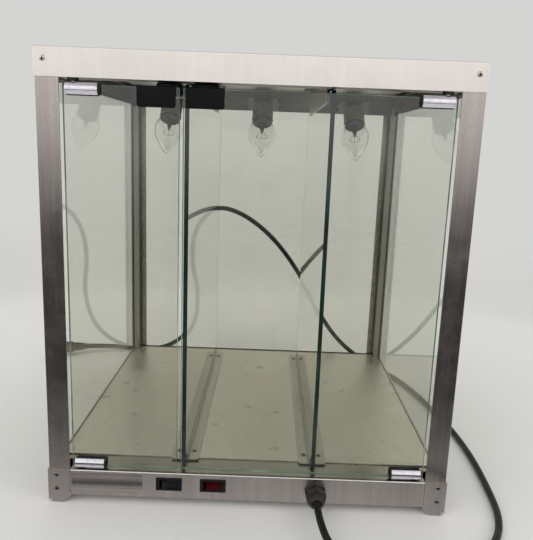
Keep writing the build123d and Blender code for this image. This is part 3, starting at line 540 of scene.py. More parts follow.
# Near-black mandrel stubs: partly the real steel mandrel, partly painted shade inside the rivet holes.
MANDREL_HOLE_SHADE = PlainMetal("mandrel_hole_shade", paint(40, 36, 34), paint(24, 22, 22), 0.5)
DARK_STEEL = PlainMetal("dark_steel", paint(46, 44, 42), paint(90, 86, 80), 0.4)
CHROME = PlainMetal("chrome_trim", paint(226, 224, 232), paint(212, 210, 218), 0.07, bump=0.02)
MAGNET_STEEL = PlainMetal("magnet_steel", paint(176, 176, 178), paint(120, 120, 120), 0.3)
BRASS = PlainMetal("cap_brass", paint(206, 186, 132), paint(150, 130, 88), 0.28)
NICKEL = PlainMetal("nickel", paint(206, 202, 190), paint(150, 146, 136), 0.25)
TUNGSTEN = PlainMetal("tungsten", paint(92, 88, 84), paint(60, 58, 56), 0.4)
STRIKE_COAT = Moulded("black_satin_steel", paint(8, 7, 8), paint(16, 14, 16), 0.45, 0.0005, 0.12, shine=0.15)
BLACK_PLASTIC = Moulded("black_plastic", paint(11, 11, 12), paint(26, 26, 27), 0.4, shine=0.25)
GLAND_NYLON = Moulded("gland_nylon", paint(28, 26, 26), paint(50, 49, 48), 0.42, shine=0.35)
GASKET_RUBBER = Moulded("gasket_rubber", paint(14, 14, 14), paint(30, 30, 30), 0.7)
SOCKET_SHELL = Moulded("socket_shell", paint(124, 122, 110), paint(100, 98, 88), 0.5)
SOCKET_INSIDE = Moulded("socket_inside", paint(46, 38, 30), paint(68, 56, 42), 0.6)
CERAMIC = Moulded("ceramic", paint(226, 222, 210), paint(196, 190, 174), 0.3, coat=0.3)
WIRE_COVER = Moulded("wire_cover", paint(206, 200, 190), paint(160, 152, 140), 0.55)
CORD_RUBBER = Moulded("cord_rubber", paint(12, 12, 12), paint(32, 32, 30), 0.5, grain=0.0009, shine=0.3)
PLUG_RUBBER = Moulded("plug_rubber", paint(14, 14, 14), paint(34, 34, 32), 0.45, shine=0.35)
RED_LENS = TintedLens("red_lens", paint(62, 1, 5), paint(44, 0, 2))
BULB_GLASS = BendingGlass("bulb_glass", paint(252, 252, 251), 1.46)
STEM_GLASS = BendingGlass("filament_glass", paint(250, 251, 249), 1.3)
HEATER_SHEATH = PlainMetal("heater_sheath", paint(92, 84, 74), paint(58, 52, 46), 0.45)
LABEL_FOIL = BrushedSheet(
    "label_foil", paint(196, 188, 184), paint(112, 106, 102), Grain.ALONG_X, 0.22, lines=0.1
)


# ------------------------------------------------------------------ outlines and meshes
def rounded_rectangle(width: float, height: float, corner: float, steps: int = 5) -> Outline:
    """A rectangle about the origin with round corners, counter-clockwise.

    Args:
        width: Its full width.
        height: Its full height.
        corner: The radius of its corners.
        steps: How many points each corner has.

    Returns:
        The outline's points.
    """
    points = []
    for quarter, (side_u, side_v) in enumerate(((1, 1), (-1, 1), (-1, -1), (1, -1))):
        for step in range(steps):
            angle = math.radians(90 * (quarter + step / (steps - 1)))
            points.append(
                (
                    side_u * (width / 2 - corner) + corner * math.cos(angle),
                    side_v * (height / 2 - corner) + corner * math.sin(angle),
                )
            )
    return points


def regular_ring(radius: float, sides: int, roundness: float, steps: int = 48) -> Outline:
    """A ring between a polygon with a corner at the top and the circle round it.

    Args:
        radius: The polygon's radius to its corners.
        sides: How many sides it has.
        roundness: 0 for the polygon, 1 for the circle.
        steps: How many points the ring has.

    Returns:
        The ring's points.
    """
    sector = 2 * math.pi / sides
    points = []
    for step in range(steps):
        angle = 2 * math.pi * step / steps
        within = angle % sector - sector / 2
        flat = radius * math.cos(sector / 2) / math.cos(within)
        reach = flat + (radius - flat) * roundness
        points.append((-reach * math.sin(angle), reach * math.cos(angle)))
    return points


def axes(origin: Sequence[float], along: Sequence[float], across: Sequence[float]) -> Matrix:
    """A frame whose Z runs along one direction and whose X is as near another as it can be.

    Args:
        origin: Where the frame is.
        along: The direction of its Z.
        across: About where its X points.

    Returns:
        The frame as a matrix.
    """
    z = Vector(along).normalized()
    y = z.cross(Vector(across)).normalized()
    x = y.cross(z)
    turn = Matrix((x, y, z)).transposed().to_4x4()
    return Matrix.Translation(Vector(origin)) @ turn


class Solid:
    """A mesh in the making."""

    def __init__(self) -> None:
        """Starts with nothing."""
        self.mesh = bmesh.new()

    def skin(self, rings: Iterable[Iterable[Vector]], looped: bool = False) -> "Solid":
        """Joins rings of points with faces. A ring of one point is a pole.

        Args:
            rings: The rings, each with as many points as the next, or with one.
            looped: True if the last ring joins the first, False if the ends are closed.

        Returns:
            This solid.
        """
        made = [[self.mesh.verts.new(point) for point in ring] for ring in rings]
        pairs = list(zip(made, made[1:]))
        if looped:
            pairs.append((made[-1], made[0]))
        for first, second in pairs:
            count = max(len(first), len(second))
            for step in range(count):
                after = (step + 1) % count
                corners = [first[step % len(first)], first[after % len(first)]]
                corners += [second[after % len(second)], second[step % len(second)]]
                distinct = list(dict.fromkeys(corners))
                if len(distinct) > 2:
                    self.mesh.faces.new(distinct)
        if not looped:
            for end in (made[0], made[-1]):
                if len(end) > 2:
                    self.mesh.faces.new(end)
        return self

    def lathe(self, profile: Outline, place: Matrix, steps: int = 48, looped: bool = False) -> "Solid":
        """Turns a profile about the Z of a frame.

        Args:
            profile: Pairs of radius and height.
            place: The frame.
            steps: How many sides the turned solid has.
            looped: True if the profile closes on itself, as for a tube.

        Returns:
            This solid.
        """
        rings = []
        for radius, height in profile:
            turns = steps if radius > 1e-7 else 1
            angles = [2 * math.pi * step / turns for step in range(turns)]
            rings.append(
                [place @ Vector((radius * math.cos(a), radius * math.sin(a), height)) for a in angles]
            )
        return self.skin(rings, looped)

    def loft(self, sections: Iterable[tuple[Outline, float]], place: Matrix) -> "Solid":
        """Joins outlines that stand at heights along the Z of a frame.

        Args:
            sections: Pairs of an outline and its height.
            place: The frame.

        Returns:
            This solid.
        """
        return self.skin([place @ Vector((u, v, height)) for u, v in outline] for outline, height in sections)

    def prism(self, outline: Outline, start: float, end: float, place: Matrix) -> "Solid":
        """A straight length of one outline along the Z of a frame."""
        return self.loft([(outline, start), (outline, end)], place)

    def block(self, low: Sequence[float], high: Sequence[float]) -> "Solid":
        """A block between two corners."""
        outline = [(low[0], low[1]), (high[0], low[1]), (high[0], high[1]), (low[0], high[1])]
        return self.prism(outline, low[2], high[2], Matrix.Identity(4))

    def eased(self, width: float, segments: int = 2, sharper: float = 40) -> "Solid":
        """Rounds every edge so far that is sharper than an angle.

        Args:
            width: How far the rounding reaches.
            segments: How many faces it has.
            sharper: The angle in degrees.

        Returns:
            This solid.
        """
        bmesh.ops.recalc_face_normals(self.mesh, faces=self.mesh.faces)
        limit = math.radians(sharper)
        edges = [e for e in self.mesh.edges if e.is_manifold and e.calc_face_angle() > limit]
        bmesh.ops.bevel(
            self.mesh, geom=edges, offset=width, offset_type="OFFSET", segments=segments, profile=0.5,
            affect="EDGES"
        )
        return self

    def piece(self, name: str, choose: Callable[[bmesh.types.BMFace], int] | None = None) -> bpy.types.Object:
        """Turns the mesh into an object of the scene.

        Args:
            name: The piece's name.
            choose: What picks a face's material by its number, if there are several.

        Returns:
            The new object.
        """
        bmesh.ops.recalc_face_normals(self.mesh, faces=self.mesh.faces)
        for face in self.mesh.faces:
            face.smooth = True
            if choose is not None:
                face.material_index = choose(face)
        data = bpy.data.meshes.new(name)
        self.mesh.to_mesh(data)
        self.mesh.free()
        data.set_sharp_from_angle(angle=math.radians(32))
        made = bpy.data.objects.new(name, data)
        bpy.context.scene.collection.objects.link(made)
        return made


def wire(name: str, points: Sequence[Sequence[float]], radius: float) -> bpy.types.Object:
    """A round wire that runs smoothly by a few points.

    Args:
        name: The piece's name.
        points: The spline's control points.
        radius: The wire's radius.

    Returns:
        The new curve object.
    """
    curve = bpy.data.curves.new(name, "CURVE")
    curve.dimensions = "3D"
    curve.bevel_depth = radius
    curve.bevel_resolution = 4
    curve.resolution_u = 12
    curve.use_fill_caps = True
    spline = curve.splines.new("NURBS")
    spline.points.add(len(points) - 1)
    for control, point in zip(spline.points, points):
        control.co = (*point, 1.0)
    spline.order_u = 3
    spline.use_endpoint_u = True
    made = bpy.data.objects.new(name, curve)
    bpy.context.scene.collection.objects.link(made)
    return made


def deliver(
    piece: bpy.types.Object, body: str, slot: str, *finishes: Finish, replaces: Iterable[str] = ()
) -> bpy.types.Object:
    """Dresses a piece, hangs it on its body and reports it.

    Args:
        piece: The piece.
        body: The body that it moves with.
        slot: The record's material slot that the piece stands for, which is only named in the log.
        finishes: Its finishes, in the order of its faces' material numbers.
        replaces: The CAD nodes that it stands for.

    Returns:
        The piece.
    """
    for finish in finishes:
        piece.data.materials.append(finish.material())
    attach(piece, body)
    if replaces:
        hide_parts(*replaces)
    log.info("%s on %s in %s", piece.name, body, slot)
    return piece


def dress(finish: Finish, *nodes: str) -> None:
    """Gives the kept nodes of the frame their finish.

    Args:
        finish: The finish.
        nodes: The nodes' names.
    """
    for name in nodes:
        node = frame["nodes"][name]
        node.data.materials.clear()
        node.data.materials.append(finish.material())
        log.info("%s dressed in %s", name, finish.name)


def middle(node: str) -> Vector:
    """The middle of a node's box."""
    low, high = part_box(node)
    return (low + high) / 2


# ------------------------------------------------------------------ mains lead
@dataclass
class MainsLead:
    """The lead with its gland and plug.

    It leaves the gland at the front, runs round the right side on the worktop, stands up in
    a loop that leans on the rear pane, and comes down to the plug behind the left side.
    """

    diameter: float = 0.0085
    length: float = 1.86
    route: tuple[Point, ...] = (
        (0.083, -0.2595, 0.025), (0.084, -0.288, 0.022), (0.095, -0.318, 0.010), (0.122, -0.341, 0.0045),
        (0.164, -0.350, 0.0045), (0.222, -0.340, 0.0045), (0.274, -0.306, 0.0045), (0.306, -0.250, 0.0045),
        (0.316, -0.170, 0.0045), (0.321, -0.075, 0.0045), (0.314, 0.025, 0.0045), (0.300, 0.120, 0.0045),
        (0.276, 0.205, 0.0045), (0.238, 0.268, 0.006), (0.186, 0.292, 0.030), (0.140, 0.290, 0.080),
        (0.104, 0.272, 0.148), (0.064, 0.251, 0.216), (0.018, 0.2395, 0.272), (-0.038, 0.237, 0.312),
        (-0.088, 0.237, 0.322), (-0.128, 0.241, 0.282), (-0.137, 0.253, 0.215), (-0.122, 0.270, 0.140),
        (-0.134, 0.290, 0.066), (-0.176, 0.305, 0.022), (-0.232, 0.318, 0.0055), (-0.280, 0.329, 0.0048),
        (-0.322, 0.322, 0.0095), (-0.358, 0.304, 0.0128),
    )
    relief_length: float = 0.024
    body_length: float = 0.030
    flange_turn: float = 15.0
    body_radius: float = 0.0119
    blade_length: float = 0.018
    blade_offset: float = 0.00635

    def build(self) -> None:
        """Makes the lead and everything on it."""
        lead = wire("mains_lead", self.route, self.diameter / 2)
        lead.data.resolution_u = 20
        lead.data.bevel_resolution = 6
        deliver(lead, "case", "cord_rubber", CORD_RUBBER, replaces=["power_cord"])
        pieces = [*self.plug(), *self.gland()]

    def plug(self) -> list[bpy.types.Object]:
        """The moulded plug with its ribbed relief, blades and earth pin.

        Returns:
            The plug's pieces.
        """
        end, before = Vector(self.route[-1]), Vector(self.route[-2])
        along = end - before
        place = axes(end, along, (along.y, -along.x, 0))
        sections = []
        ribs = 5
        for rib in range(ribs):
            base = self.relief_length * (0.04 + 0.17 * rib)
            core = self.diameter / 2 + 0.0012 + 0.0006 * rib
            for shift, swell in ((0.0, 0.0), (0.0008, 0.0011), (0.0026, 0.0011), (0.0034, 0.0)):
                sections.append((regular_ring(core + swell, 4, 1.0), base + shift))
        start = self.relief_length
        for share, width, square in (
            (0.0, 0.72, 1.0), (0.06, 0.86, 0.9), (0.16, 0.97, 0.75), (0.4, 0.93, 0.6),
            (0.66, 0.93, 0.55), (0.86, 0.99, 0.5), (0.95, 0.97, 0.5), (1.0, 0.9, 0.5),
        ):
            sections.append(
                (self.squared(self.body_radius * width, square), start + self.body_length * share)
            )
        body = Solid().loft(sections, place).piece("plug_body")
        deliver(body, "case", "plug_rubber", PLUG_RUBBER, replaces=["power_plug"])
        face = self.relief_length + self.body_length
        metal = Solid()
        for side in (-1, 1):
            outline = [
                (side * self.blade_offset + u, 0.003 + v) for u, v in rounded_rectangle(
                    0.0015, 0.0064, 0.0003
                )
            ]
            tip = [
                (side * self.blade_offset + u, 0.003 + v) for u, v in rounded_rectangle(0.0008, 0.005, 0.0003)
            ]
            metal.loft(
                [(outline, face - 0.001), (outline, face + 0.0165), (tip, face + self.blade_length)], place
            )
        pin = place @ Matrix.Translation((0, -0.0075, face - 0.001))
        reach = self.blade_length + 0.003
        metal.lathe(
            [(0, 0), (0.0024, 0), (0.0024, reach - 0.0018), (0.0018, reach - 0.0006), (0.0008, reach), (0, reach)],
            pin, 24,
        )
        blades = deliver(metal.piece("plug_blades"), "case", "rivet_metal", NICKEL)
        return [body, blades]

    def squared(self, radius: float, roundness: float) -> Outline:
        """A ring between a circle and a soft square that stays inside the circle.

        Args:
            radius: The circle's radius.
            roundness: 1 for the circle, less for a squarer ring.

        Returns:
            The ring's points.
        """
        points = []
        power = 2 + 3 * (1 - roundness)
        for u, v in regular_ring(1.0, 4, 1.0):
            size = (abs(u) ** power + abs(v) ** power) ** (1 / power)
            points.append((radius * u / size, radius * v / size * 0.96))
        return points

    def gland(self) -> list[bpy.types.Object]:
        """The nylon gland: hex flange and barrel, and a dome nut with its seal.

        Returns:
            The gland's pieces.
        """
        exit_point = Vector(self.route[0])
        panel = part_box("base_front_panel")[0].y
        place = axes((exit_point.x, panel, exit_point.z), (0, -1, 0), (1, 0, 0))
        bore = self.diameter / 2 + 0.0005
        turned = place @ Matrix.Rotation(math.radians(self.flange_turn), 4, "Z")
        flange = Solid().loft(
            [
                (regular_ring(0.0138 * scale, 6, rounding), height)
                for height, scale, rounding in (
                    (0.0002, 0.95, 0.5), (0.0009, 1.0, 0.08), (0.0044, 1.0, 0.08), (0.0052, 0.94, 0.6)
                )
            ],
            turned,
        )
        flange.lathe(
            [(bore, -0.0139), (0.0090, -0.0139), (0.0093, -0.013), (0.0093, 0.003), (0.0081, 0.003), (0.0081, 0.0148),
             (bore, 0.0148)],
            place, 48, looped=True,
        )
        flange.loft(
            [
                (regular_ring(0.0124 * scale, 6, rounding), height)
                for height, scale, rounding in (
                    (-0.0061, 0.94, 0.6), (-0.0055, 1.0, 0.05), (-0.002, 1.0, 0.05), (-0.0015, 0.94, 0.6)
                )
            ],
            place,
        )
        flange = deliver(
            flange.piece("gland_body"), "case", "gland_nylon", GLAND_NYLON, replaces=["cable_gland"]
        )
        nut = Solid().loft(
            [
                (regular_ring(radius, 6, rounding), height)
                for height, radius, rounding in (
                    (0.0056, 0.0120, 0.7), (0.0062, 0.0128, 0.12), (0.0148, 0.0128, 0.12), (
                        0.0160, 0.0122, 0.45
                    ),
                    (0.0185, 0.0113, 0.7), (0.0212, 0.0098, 0.9), (0.0236, 0.0080, 1.0), (
                        0.0250, 0.0064, 1.0
                    ),
                    (0.0253, 0.0054, 1.0), (0.0246, 0.0050, 1.0), (0.0220, 0.0050, 1.0),
                )
            ],
            place,
        )
        nut = deliver(nut.piece("gland_dome_nut"), "case", "gland_nylon", GLAND_NYLON, replaces=["gland_nut"])
        return [flange, nut]


# ------------------------------------------------------------------ sheet metal and rivets
@dataclass
class SheetMetal:
    """The shell of the case: cap, posts, rails, base, feet, deck and what is hidden below it."""

    rivet_radius: float = 0.0032
    rivet_height: float = 0.0011
    hole_radius: float = 0.0010
    inset: float = 0.011
    foot_levels: tuple[float, float] = (0.0186, 0.0366)
    cap_level: float = 0.5174
    strip_end: float = 0.182
    strip_reach: float = 0.00975
    gauge: float = 0.0012
    divider_offset: float = 0.08

    def build(self) -> None:
        """Dresses the sheets and makes the rivets."""
        corners = [f"{depth}_{side}" for depth in ("front", "rear") for side in ("left", "right")]
        dress(CAP_SHEET, "top_cap")
        dress(POST_STEEL, *[f"{corner}_post" for corner in corners])
        dress(BASE_STEEL, *[f"{corner}_foot_bracket" for corner in corners])
        dress(FRONT_STEEL, "base_front_panel")
        dress(BASE_STEEL, *[f"base_{side}_panel" for side in ("rear", "left", "right")])
        dress(RAIL_STEEL, *[f"{side}_top_rail" for side in ("front", "rear", "left", "right")])
        dress(RAIL_STEEL, "lamp_rail", "base_pan", "heater_clips")
        # Painted shade: the front glazing bars take a dark colour for the shaded gap beside the posts.
        dress(GAP_SHADE_BAR, "front_glazing_bars")
        dress(BAR_STEEL, "rear_glazing_bars")
        dress(STRIP_STEEL, "divider_floor_strips", "divider_hanging_guides")
        dress(DECK_SHEET, "deck_plate")
        dress(LABEL_FOIL, "rating_label")
        dress(HEATER_SHEATH, "heater_element")
        dress(NICKEL, "thermostat")
        dress(CERAMIC, "terminal_block")
        dress(WIRE_COVER, "wiring_loom")
        self.rivets()

    def skin_places(self, levels: Sequence[float]) -> list[Matrix]:
        """Where rivets sit at the corners of the case, each frame's Z pointing out of the sheet.

        Args:
            levels: The heights of the rivets.

        Returns:
            One frame for each rivet.
        """
        _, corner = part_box("top_cap")
        places = []
        for side_x in (-1, 1):
            for side_y in (-1, 1):
                for level in levels:
                    front = (side_x * (corner.x - self.inset), side_y * corner.y, level)
                    side = (side_x * corner.x, side_y * (corner.y - self.inset), level)
                    places.append(axes(front, (0, side_y, 0), (0, 0, 1)))
                    places.append(axes(side, (side_x, 0, 0), (0, 0, 1)))
        return places

    def strip_places(self) -> list[Matrix]:
        """Where rivets sit at the ends of the floor strips.

        Returns:
            One frame for each rivet.
        """
        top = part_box("deck_plate")[1].z + self.gauge
        return [
            axes(
                (divider * self.divider_offset + side * self.strip_reach, end * self.strip_end, top),
                (0, 0, 1), (1, 0, 0)
            )
            for divider in (-1, 1)
            for side in (-1, 1)
            for end in (-1, 1)
        ]

    def head(self, hole: float) -> Outline:
        """The turned section of a rivet head.

        Args:
            hole: The radius of its mandrel hole.

        Returns:
            The section's radii and heights.
        """
        radius, height, lip = self.rivet_radius, self.rivet_height, hole * 1.2
        dome = [(hole, -0.0012), (hole, height * 0.8), (lip, height)]
        for angle in (30, 52, 70, 84):
            turn = math.radians(angle)
            dome.append((lip + (radius - lip) * math.sin(turn), height * math.cos(turn)))
        return dome + [(radius, 0.0), (radius * 0.6, -0.0002), (radius * 0.6, -0.0012)]

    def rivets(self) -> None:
        """Makes the domed rivet heads and the mandrel stubs inside them, whose near-black colour is partly the steel
        mandrel and partly painted shade in the holes.
        """
        groups = (
            ("cap", RIVET_METAL, self.hole_radius, 0.0001, self.skin_places([self.cap_level])),
            # the base and floor-strip rivets wear the darker copy, which is painted shade
            ("base", SHADED_RIVET, self.hole_radius * 1.5, -0.0006, self.skin_places(self.foot_levels)),
            ("strip", SHADED_RIVET, self.hole_radius * 1.3, -0.0004, self.strip_places()),
        )
        stubs = Solid()
        for name, finish, hole, level, places in groups:
            heads = Solid()
            for place in places:
                heads.lathe(self.head(hole), place, 32, looped=True)
                stubs.lathe(
                    [(0, -0.001), (hole * 0.98, -0.001), (hole * 0.98, level - 0.0002), (hole * 0.5, level), (0, level)],
                    place, 16,
                )
            replaced = ["pop_rivets"] if name == "cap" else []
            deliver(heads.piece(f"{name}_rivets"), "case", "rivet_metal", finish, replaces=replaced)
        deliver(stubs.piece("shaded_mandrel_stubs"), "case", "rivet_metal", MANDREL_HOLE_SHADE)


# ------------------------------------------------------------------ glass
@dataclass
class GlassSheet:
    """One pane with ground edges, made to the box of the node that it replaces."""

    node: str
    body: str
    face: Finish
    edge: Finish
    corner: float = 0.0015
    arris: float = 0.0005

    def build(self) -> None:
        """Makes the pane."""
        low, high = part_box(self.node)
        size = high - low
        thin = min(range(3), key=lambda axis: size[axis])
        across, up = [axis for axis in range(3) if axis != thin]
        directions = [Vector((axis == 0, axis == 1, axis == 2)) for axis in range(3)]
        centre = (low + high) / 2
        sections = []
        depth = size[thin] / 2
        for height, inset in (
            (-depth, self.arris), (self.arris - depth, 0.0), (depth - self.arris, 0.0), (depth, self.arris)
        ):
            outline = rounded_rectangle(size[across] - 2 * inset, size[up] - 2 * inset, self.corner, 4)
            sections.append(
                [centre + directions[across] * u + directions[up] * v + directions[thin] * height for u, v in outline]
            )
        solid = Solid().skin(sections)
        pane = solid.piece(f"{self.node}_pane", lambda face: 0 if abs(face.normal[thin]) > 0.9 else 1)
        deliver(pane, self.body, "clear_glass", self.face, self.edge, replaces=[self.node])


# ------------------------------------------------------------------ doors
@dataclass
class DoorFittings:
    """The clamps, gaskets, screws, pins and strike plate of one door."""

    side: str
    sign: int
    clamp_height: float = 0.013
    facet: float = 0.0043
    half_depth: float = 0.007
    lip_depth: float = 0.0045
    slot_half: float = 0.003
    slot_floor: float = 0.0019
    gasket: float = 0.0009
    sheet: float = 0.001
    screw_radius: float = 0.0021
    end_cap: float = 0.002

    @property
    def body(self) -> str:
        """The door's body."""
        return f"{self.side}_door"

    def build(self) -> None:
        """Makes the fittings."""
        clamps, gaskets, screws = Solid(), Solid(), Solid()
        for top in (True, False):
            self.clamp(clamps, gaskets, screws, top)
        node = f"{self.side}_door_clamps"
        shells = clamps.eased(0.00035, 2, 20).piece(f"{self.side}_clamp_shells")
        deliver(shells, self.body, "chrome_trim", CHROME, replaces=[node])
        deliver(gaskets.piece(f"{self.side}_clamp_gaskets"), self.body, "black_plastic", GASKET_RUBBER)
        deliver(screws.piece(f"{self.side}_clamp_screws"), self.body, "chrome_trim", DARK_STEEL)
        dress(CHROME, f"{self.side}_door_pins")
        self.strike_plate()

    def clamp(self, shells: Solid, gaskets: Solid, screws: Solid, top: bool) -> None:
        """Adds one clamp with its gasket and its two set screws.

        Args:
            shells: Takes the metal.
            gaskets: Takes the rubber.
            screws: Takes the screws.
            top: True for the clamp at the door's top edge.
        """
        low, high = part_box(f"{self.side}_door_clamps")
        up = -1 if top else 1
        outer, inner = (high.x, low.x) if self.sign > 0 else (low.x, high.x)
        origin = (outer, (low.y + high.y) / 2, high.z if top else low.z)
        place = axes(origin, (-self.sign, 0, 0), (0, 1, 0))
        flip = up * (-1 if place.col[1].z < 0 else 1)
        length = abs(outer - inner) - self.end_cap
        lean, deep, slot = self.lip_depth, self.half_depth, self.slot_half
        mid_low, mid_high, height = self.facet, self.clamp_height - self.facet, self.clamp_height
        half = [
            (lean, 0), (deep, mid_low), (deep, mid_high), (lean, height), (slot, height),
            (slot, self.slot_floor)
        ]
        outline = half + [(-u, v) for u, v in reversed(half)]
        shells.prism([(u, flip * v) for u, v in outline], 0, length, place)
        pad = slot - self.gasket
        cover = [
            (slot - 0.0001, self.slot_floor + 0.0001), (slot - 0.0001, height + 0.0007),
            (pad, height + 0.0007)
        ]
        cover += [(pad, self.slot_floor + self.gasket)]
        outline = cover + [(-u, v) for u, v in reversed(cover)]
        gaskets.prism([(u, flip * v) for u, v in outline], 0.0006, length - 0.0002, place)
        end = [
            (lean - 0.0004, 0.0006), (deep - 0.0006, mid_low), (deep - 0.0006, mid_high),
            (lean, height - 0.0004)
        ]
        end += [(slot - self.gasket, height - 0.0004), (slot - self.gasket, self.slot_floor + self.gasket)]
        outline = end + [(-u, v) for u, v in reversed(end)]
        gaskets.prism([(u, flip * v) for u, v in outline], length - 0.0003, length + self.end_cap, place)
        slope = Vector((height - mid_high, deep - lean)).normalized()
        for share in (0.26, 0.78):
            seat = place @ Vector(((deep + lean) / 2, flip * (mid_high + height) / 2, length * share))
            outward = place.to_3x3() @ Vector((slope.x, flip * slope.y, 0))
            radius = self.screw_radius
            screws.lathe(
                [(0, -0.0006), (radius, -0.0006), (radius, 0.0008), (radius - 0.0005, 0.0012), (0.0010, 0.0012),
                 (0.0009, 0.0003), (0, 0.0003)],
                axes(seat, outward, (1, 0, 0)), 20,
            )

    def strike_plate(self) -> None:
        """Makes the folded plate that slips over the door's top edge."""
        node = f"{self.side}_strike_plate"
        low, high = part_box(node)
        gauge, bend, corner = self.sheet, 0.0016, 0.003
        back_leg = 0.0098
        width = (high.x - low.x) / 2
        centre = (high.x + low.x) / 2
        path = [(low.y, low.z + corner * share, (-1.0, 0.0)) for share in (0.0, 0.1, 0.3, 0.6, 1.0)]
        for step in range(6):
            angle = math.radians(90 * step / 5)
            out = (-math.cos(angle), math.sin(angle))
            path.append((low.y + bend + bend * out[0], high.z - bend + bend * out[1], out))
        for step in range(6):
            angle = math.radians(90 * step / 5)
            out = (math.sin(angle), math.cos(angle))
            path.append((high.y - bend + bend * out[0], high.z - bend + bend * out[1], out))
        path.append((high.y, high.z - back_leg, (1.0, 0.0)))
        rings = []
        for y, z, out in path:
            rise = min(z - low.z, corner) if out == (-1.0, 0.0) else corner
            half = width - corner + math.sqrt(max(corner ** 2 - (corner - rise) ** 2, 0.0))
            inner_y, inner_z = y - gauge * out[0], z - gauge * out[1]
            rings.append(
                [
                    Vector((centre - half, y, z)), Vector((centre + half, y, z)),
                    Vector((centre + half, inner_y, inner_z)), Vector((centre - half, inner_y, inner_z)),
                ]
            )
        plate = Solid().skin(rings).eased(0.0002, 1, 60).piece(f"{self.side}_strike")
        deliver(plate, self.body, "black_satin_steel", STRIKE_COAT, replaces=[node])


@dataclass
class TouchCatches:
    """The two touch catches under the header, with their plungers and the door bushings."""

    width: float = 0.028
    height: float = 0.014
    screw_radius: float = 0.0024

    def build(self) -> None:
        """Makes the catch bodies and dresses what is kept."""
        low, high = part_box("catch_bodies")
        shells, screws = Solid(), Solid()
        for plunger in ("left_catch_plunger", "right_catch_plunger"):
            centre = middle(plunger)
            place = axes((centre.x, low.y, centre.z), (0, 1, 0), (1, 0, 0))
            rise = (high.z + low.z) / 2 - centre.z
            sign = 1 if place.col[1].z > 0 else -1
            depth = high.y - low.y
            nose = [
                (u, v + sign * rise) for u,
                v in rounded_rectangle(self.width - 0.005, self.height - 0.0022, 0.002)
            ]
            trunk = [(u, v + sign * rise) for u, v in rounded_rectangle(self.width, self.height, 0.002)]
            collar = regular_ring(0.0052, 4, 1.0, 20)
            bore = regular_ring(0.0046, 4, 1.0, 20)
            stations = [
                (bore, 0.004), (bore, 0.0002), (collar, 0.0), (nose, 0.0006), (nose, 0.006), (trunk, 0.0072)
            ]
            stations += [(trunk, depth - 0.0012), (nose, depth)]
            shells.loft([(self.aligned(outline), station) for outline, station in stations], place)
            for along in (0.013, 0.033):
                seat = (centre.x, low.y + along, low.z)
                radius = self.screw_radius
                screws.lathe(
                    [(0, -0.0004), (radius, -0.0004), (radius, 0.0002), (radius * 0.7, 0.0009), (0.0006, 0.0010), (0, 0.0004)],
                    axes(seat, (0, 0, -1), (1, 0, 0)), 20,
                )
        deliver(
            shells.piece("catch_shells"), "case", "black_plastic", BLACK_PLASTIC, replaces=["catch_bodies"]
        )
        deliver(screws.piece("catch_screws"), "case", "rivet_metal", RIVET_METAL)
        dress(MAGNET_STEEL, "left_catch_plunger", "right_catch_plunger")
        dress(GLAND_NYLON, "pivot_bushings")

    @staticmethod
    def aligned(outline: Outline) -> Outline:
        """Starts an outline at its point nearest the first corner, counter-clockwise."""
        start = max(
            range(len(outline)), key=lambda index: outline[index][0] - abs(outline[index][1] - 1e-4) * 0.5
        )
        turned = outline[start:] + outline[:start]
        area = sum(a[0] * b[1] - b[0] * a[1] for a, b in zip(turned, turned[1:] + turned[:1]))
        return turned if area > 0 else [turned[0]] + turned[:0:-1]


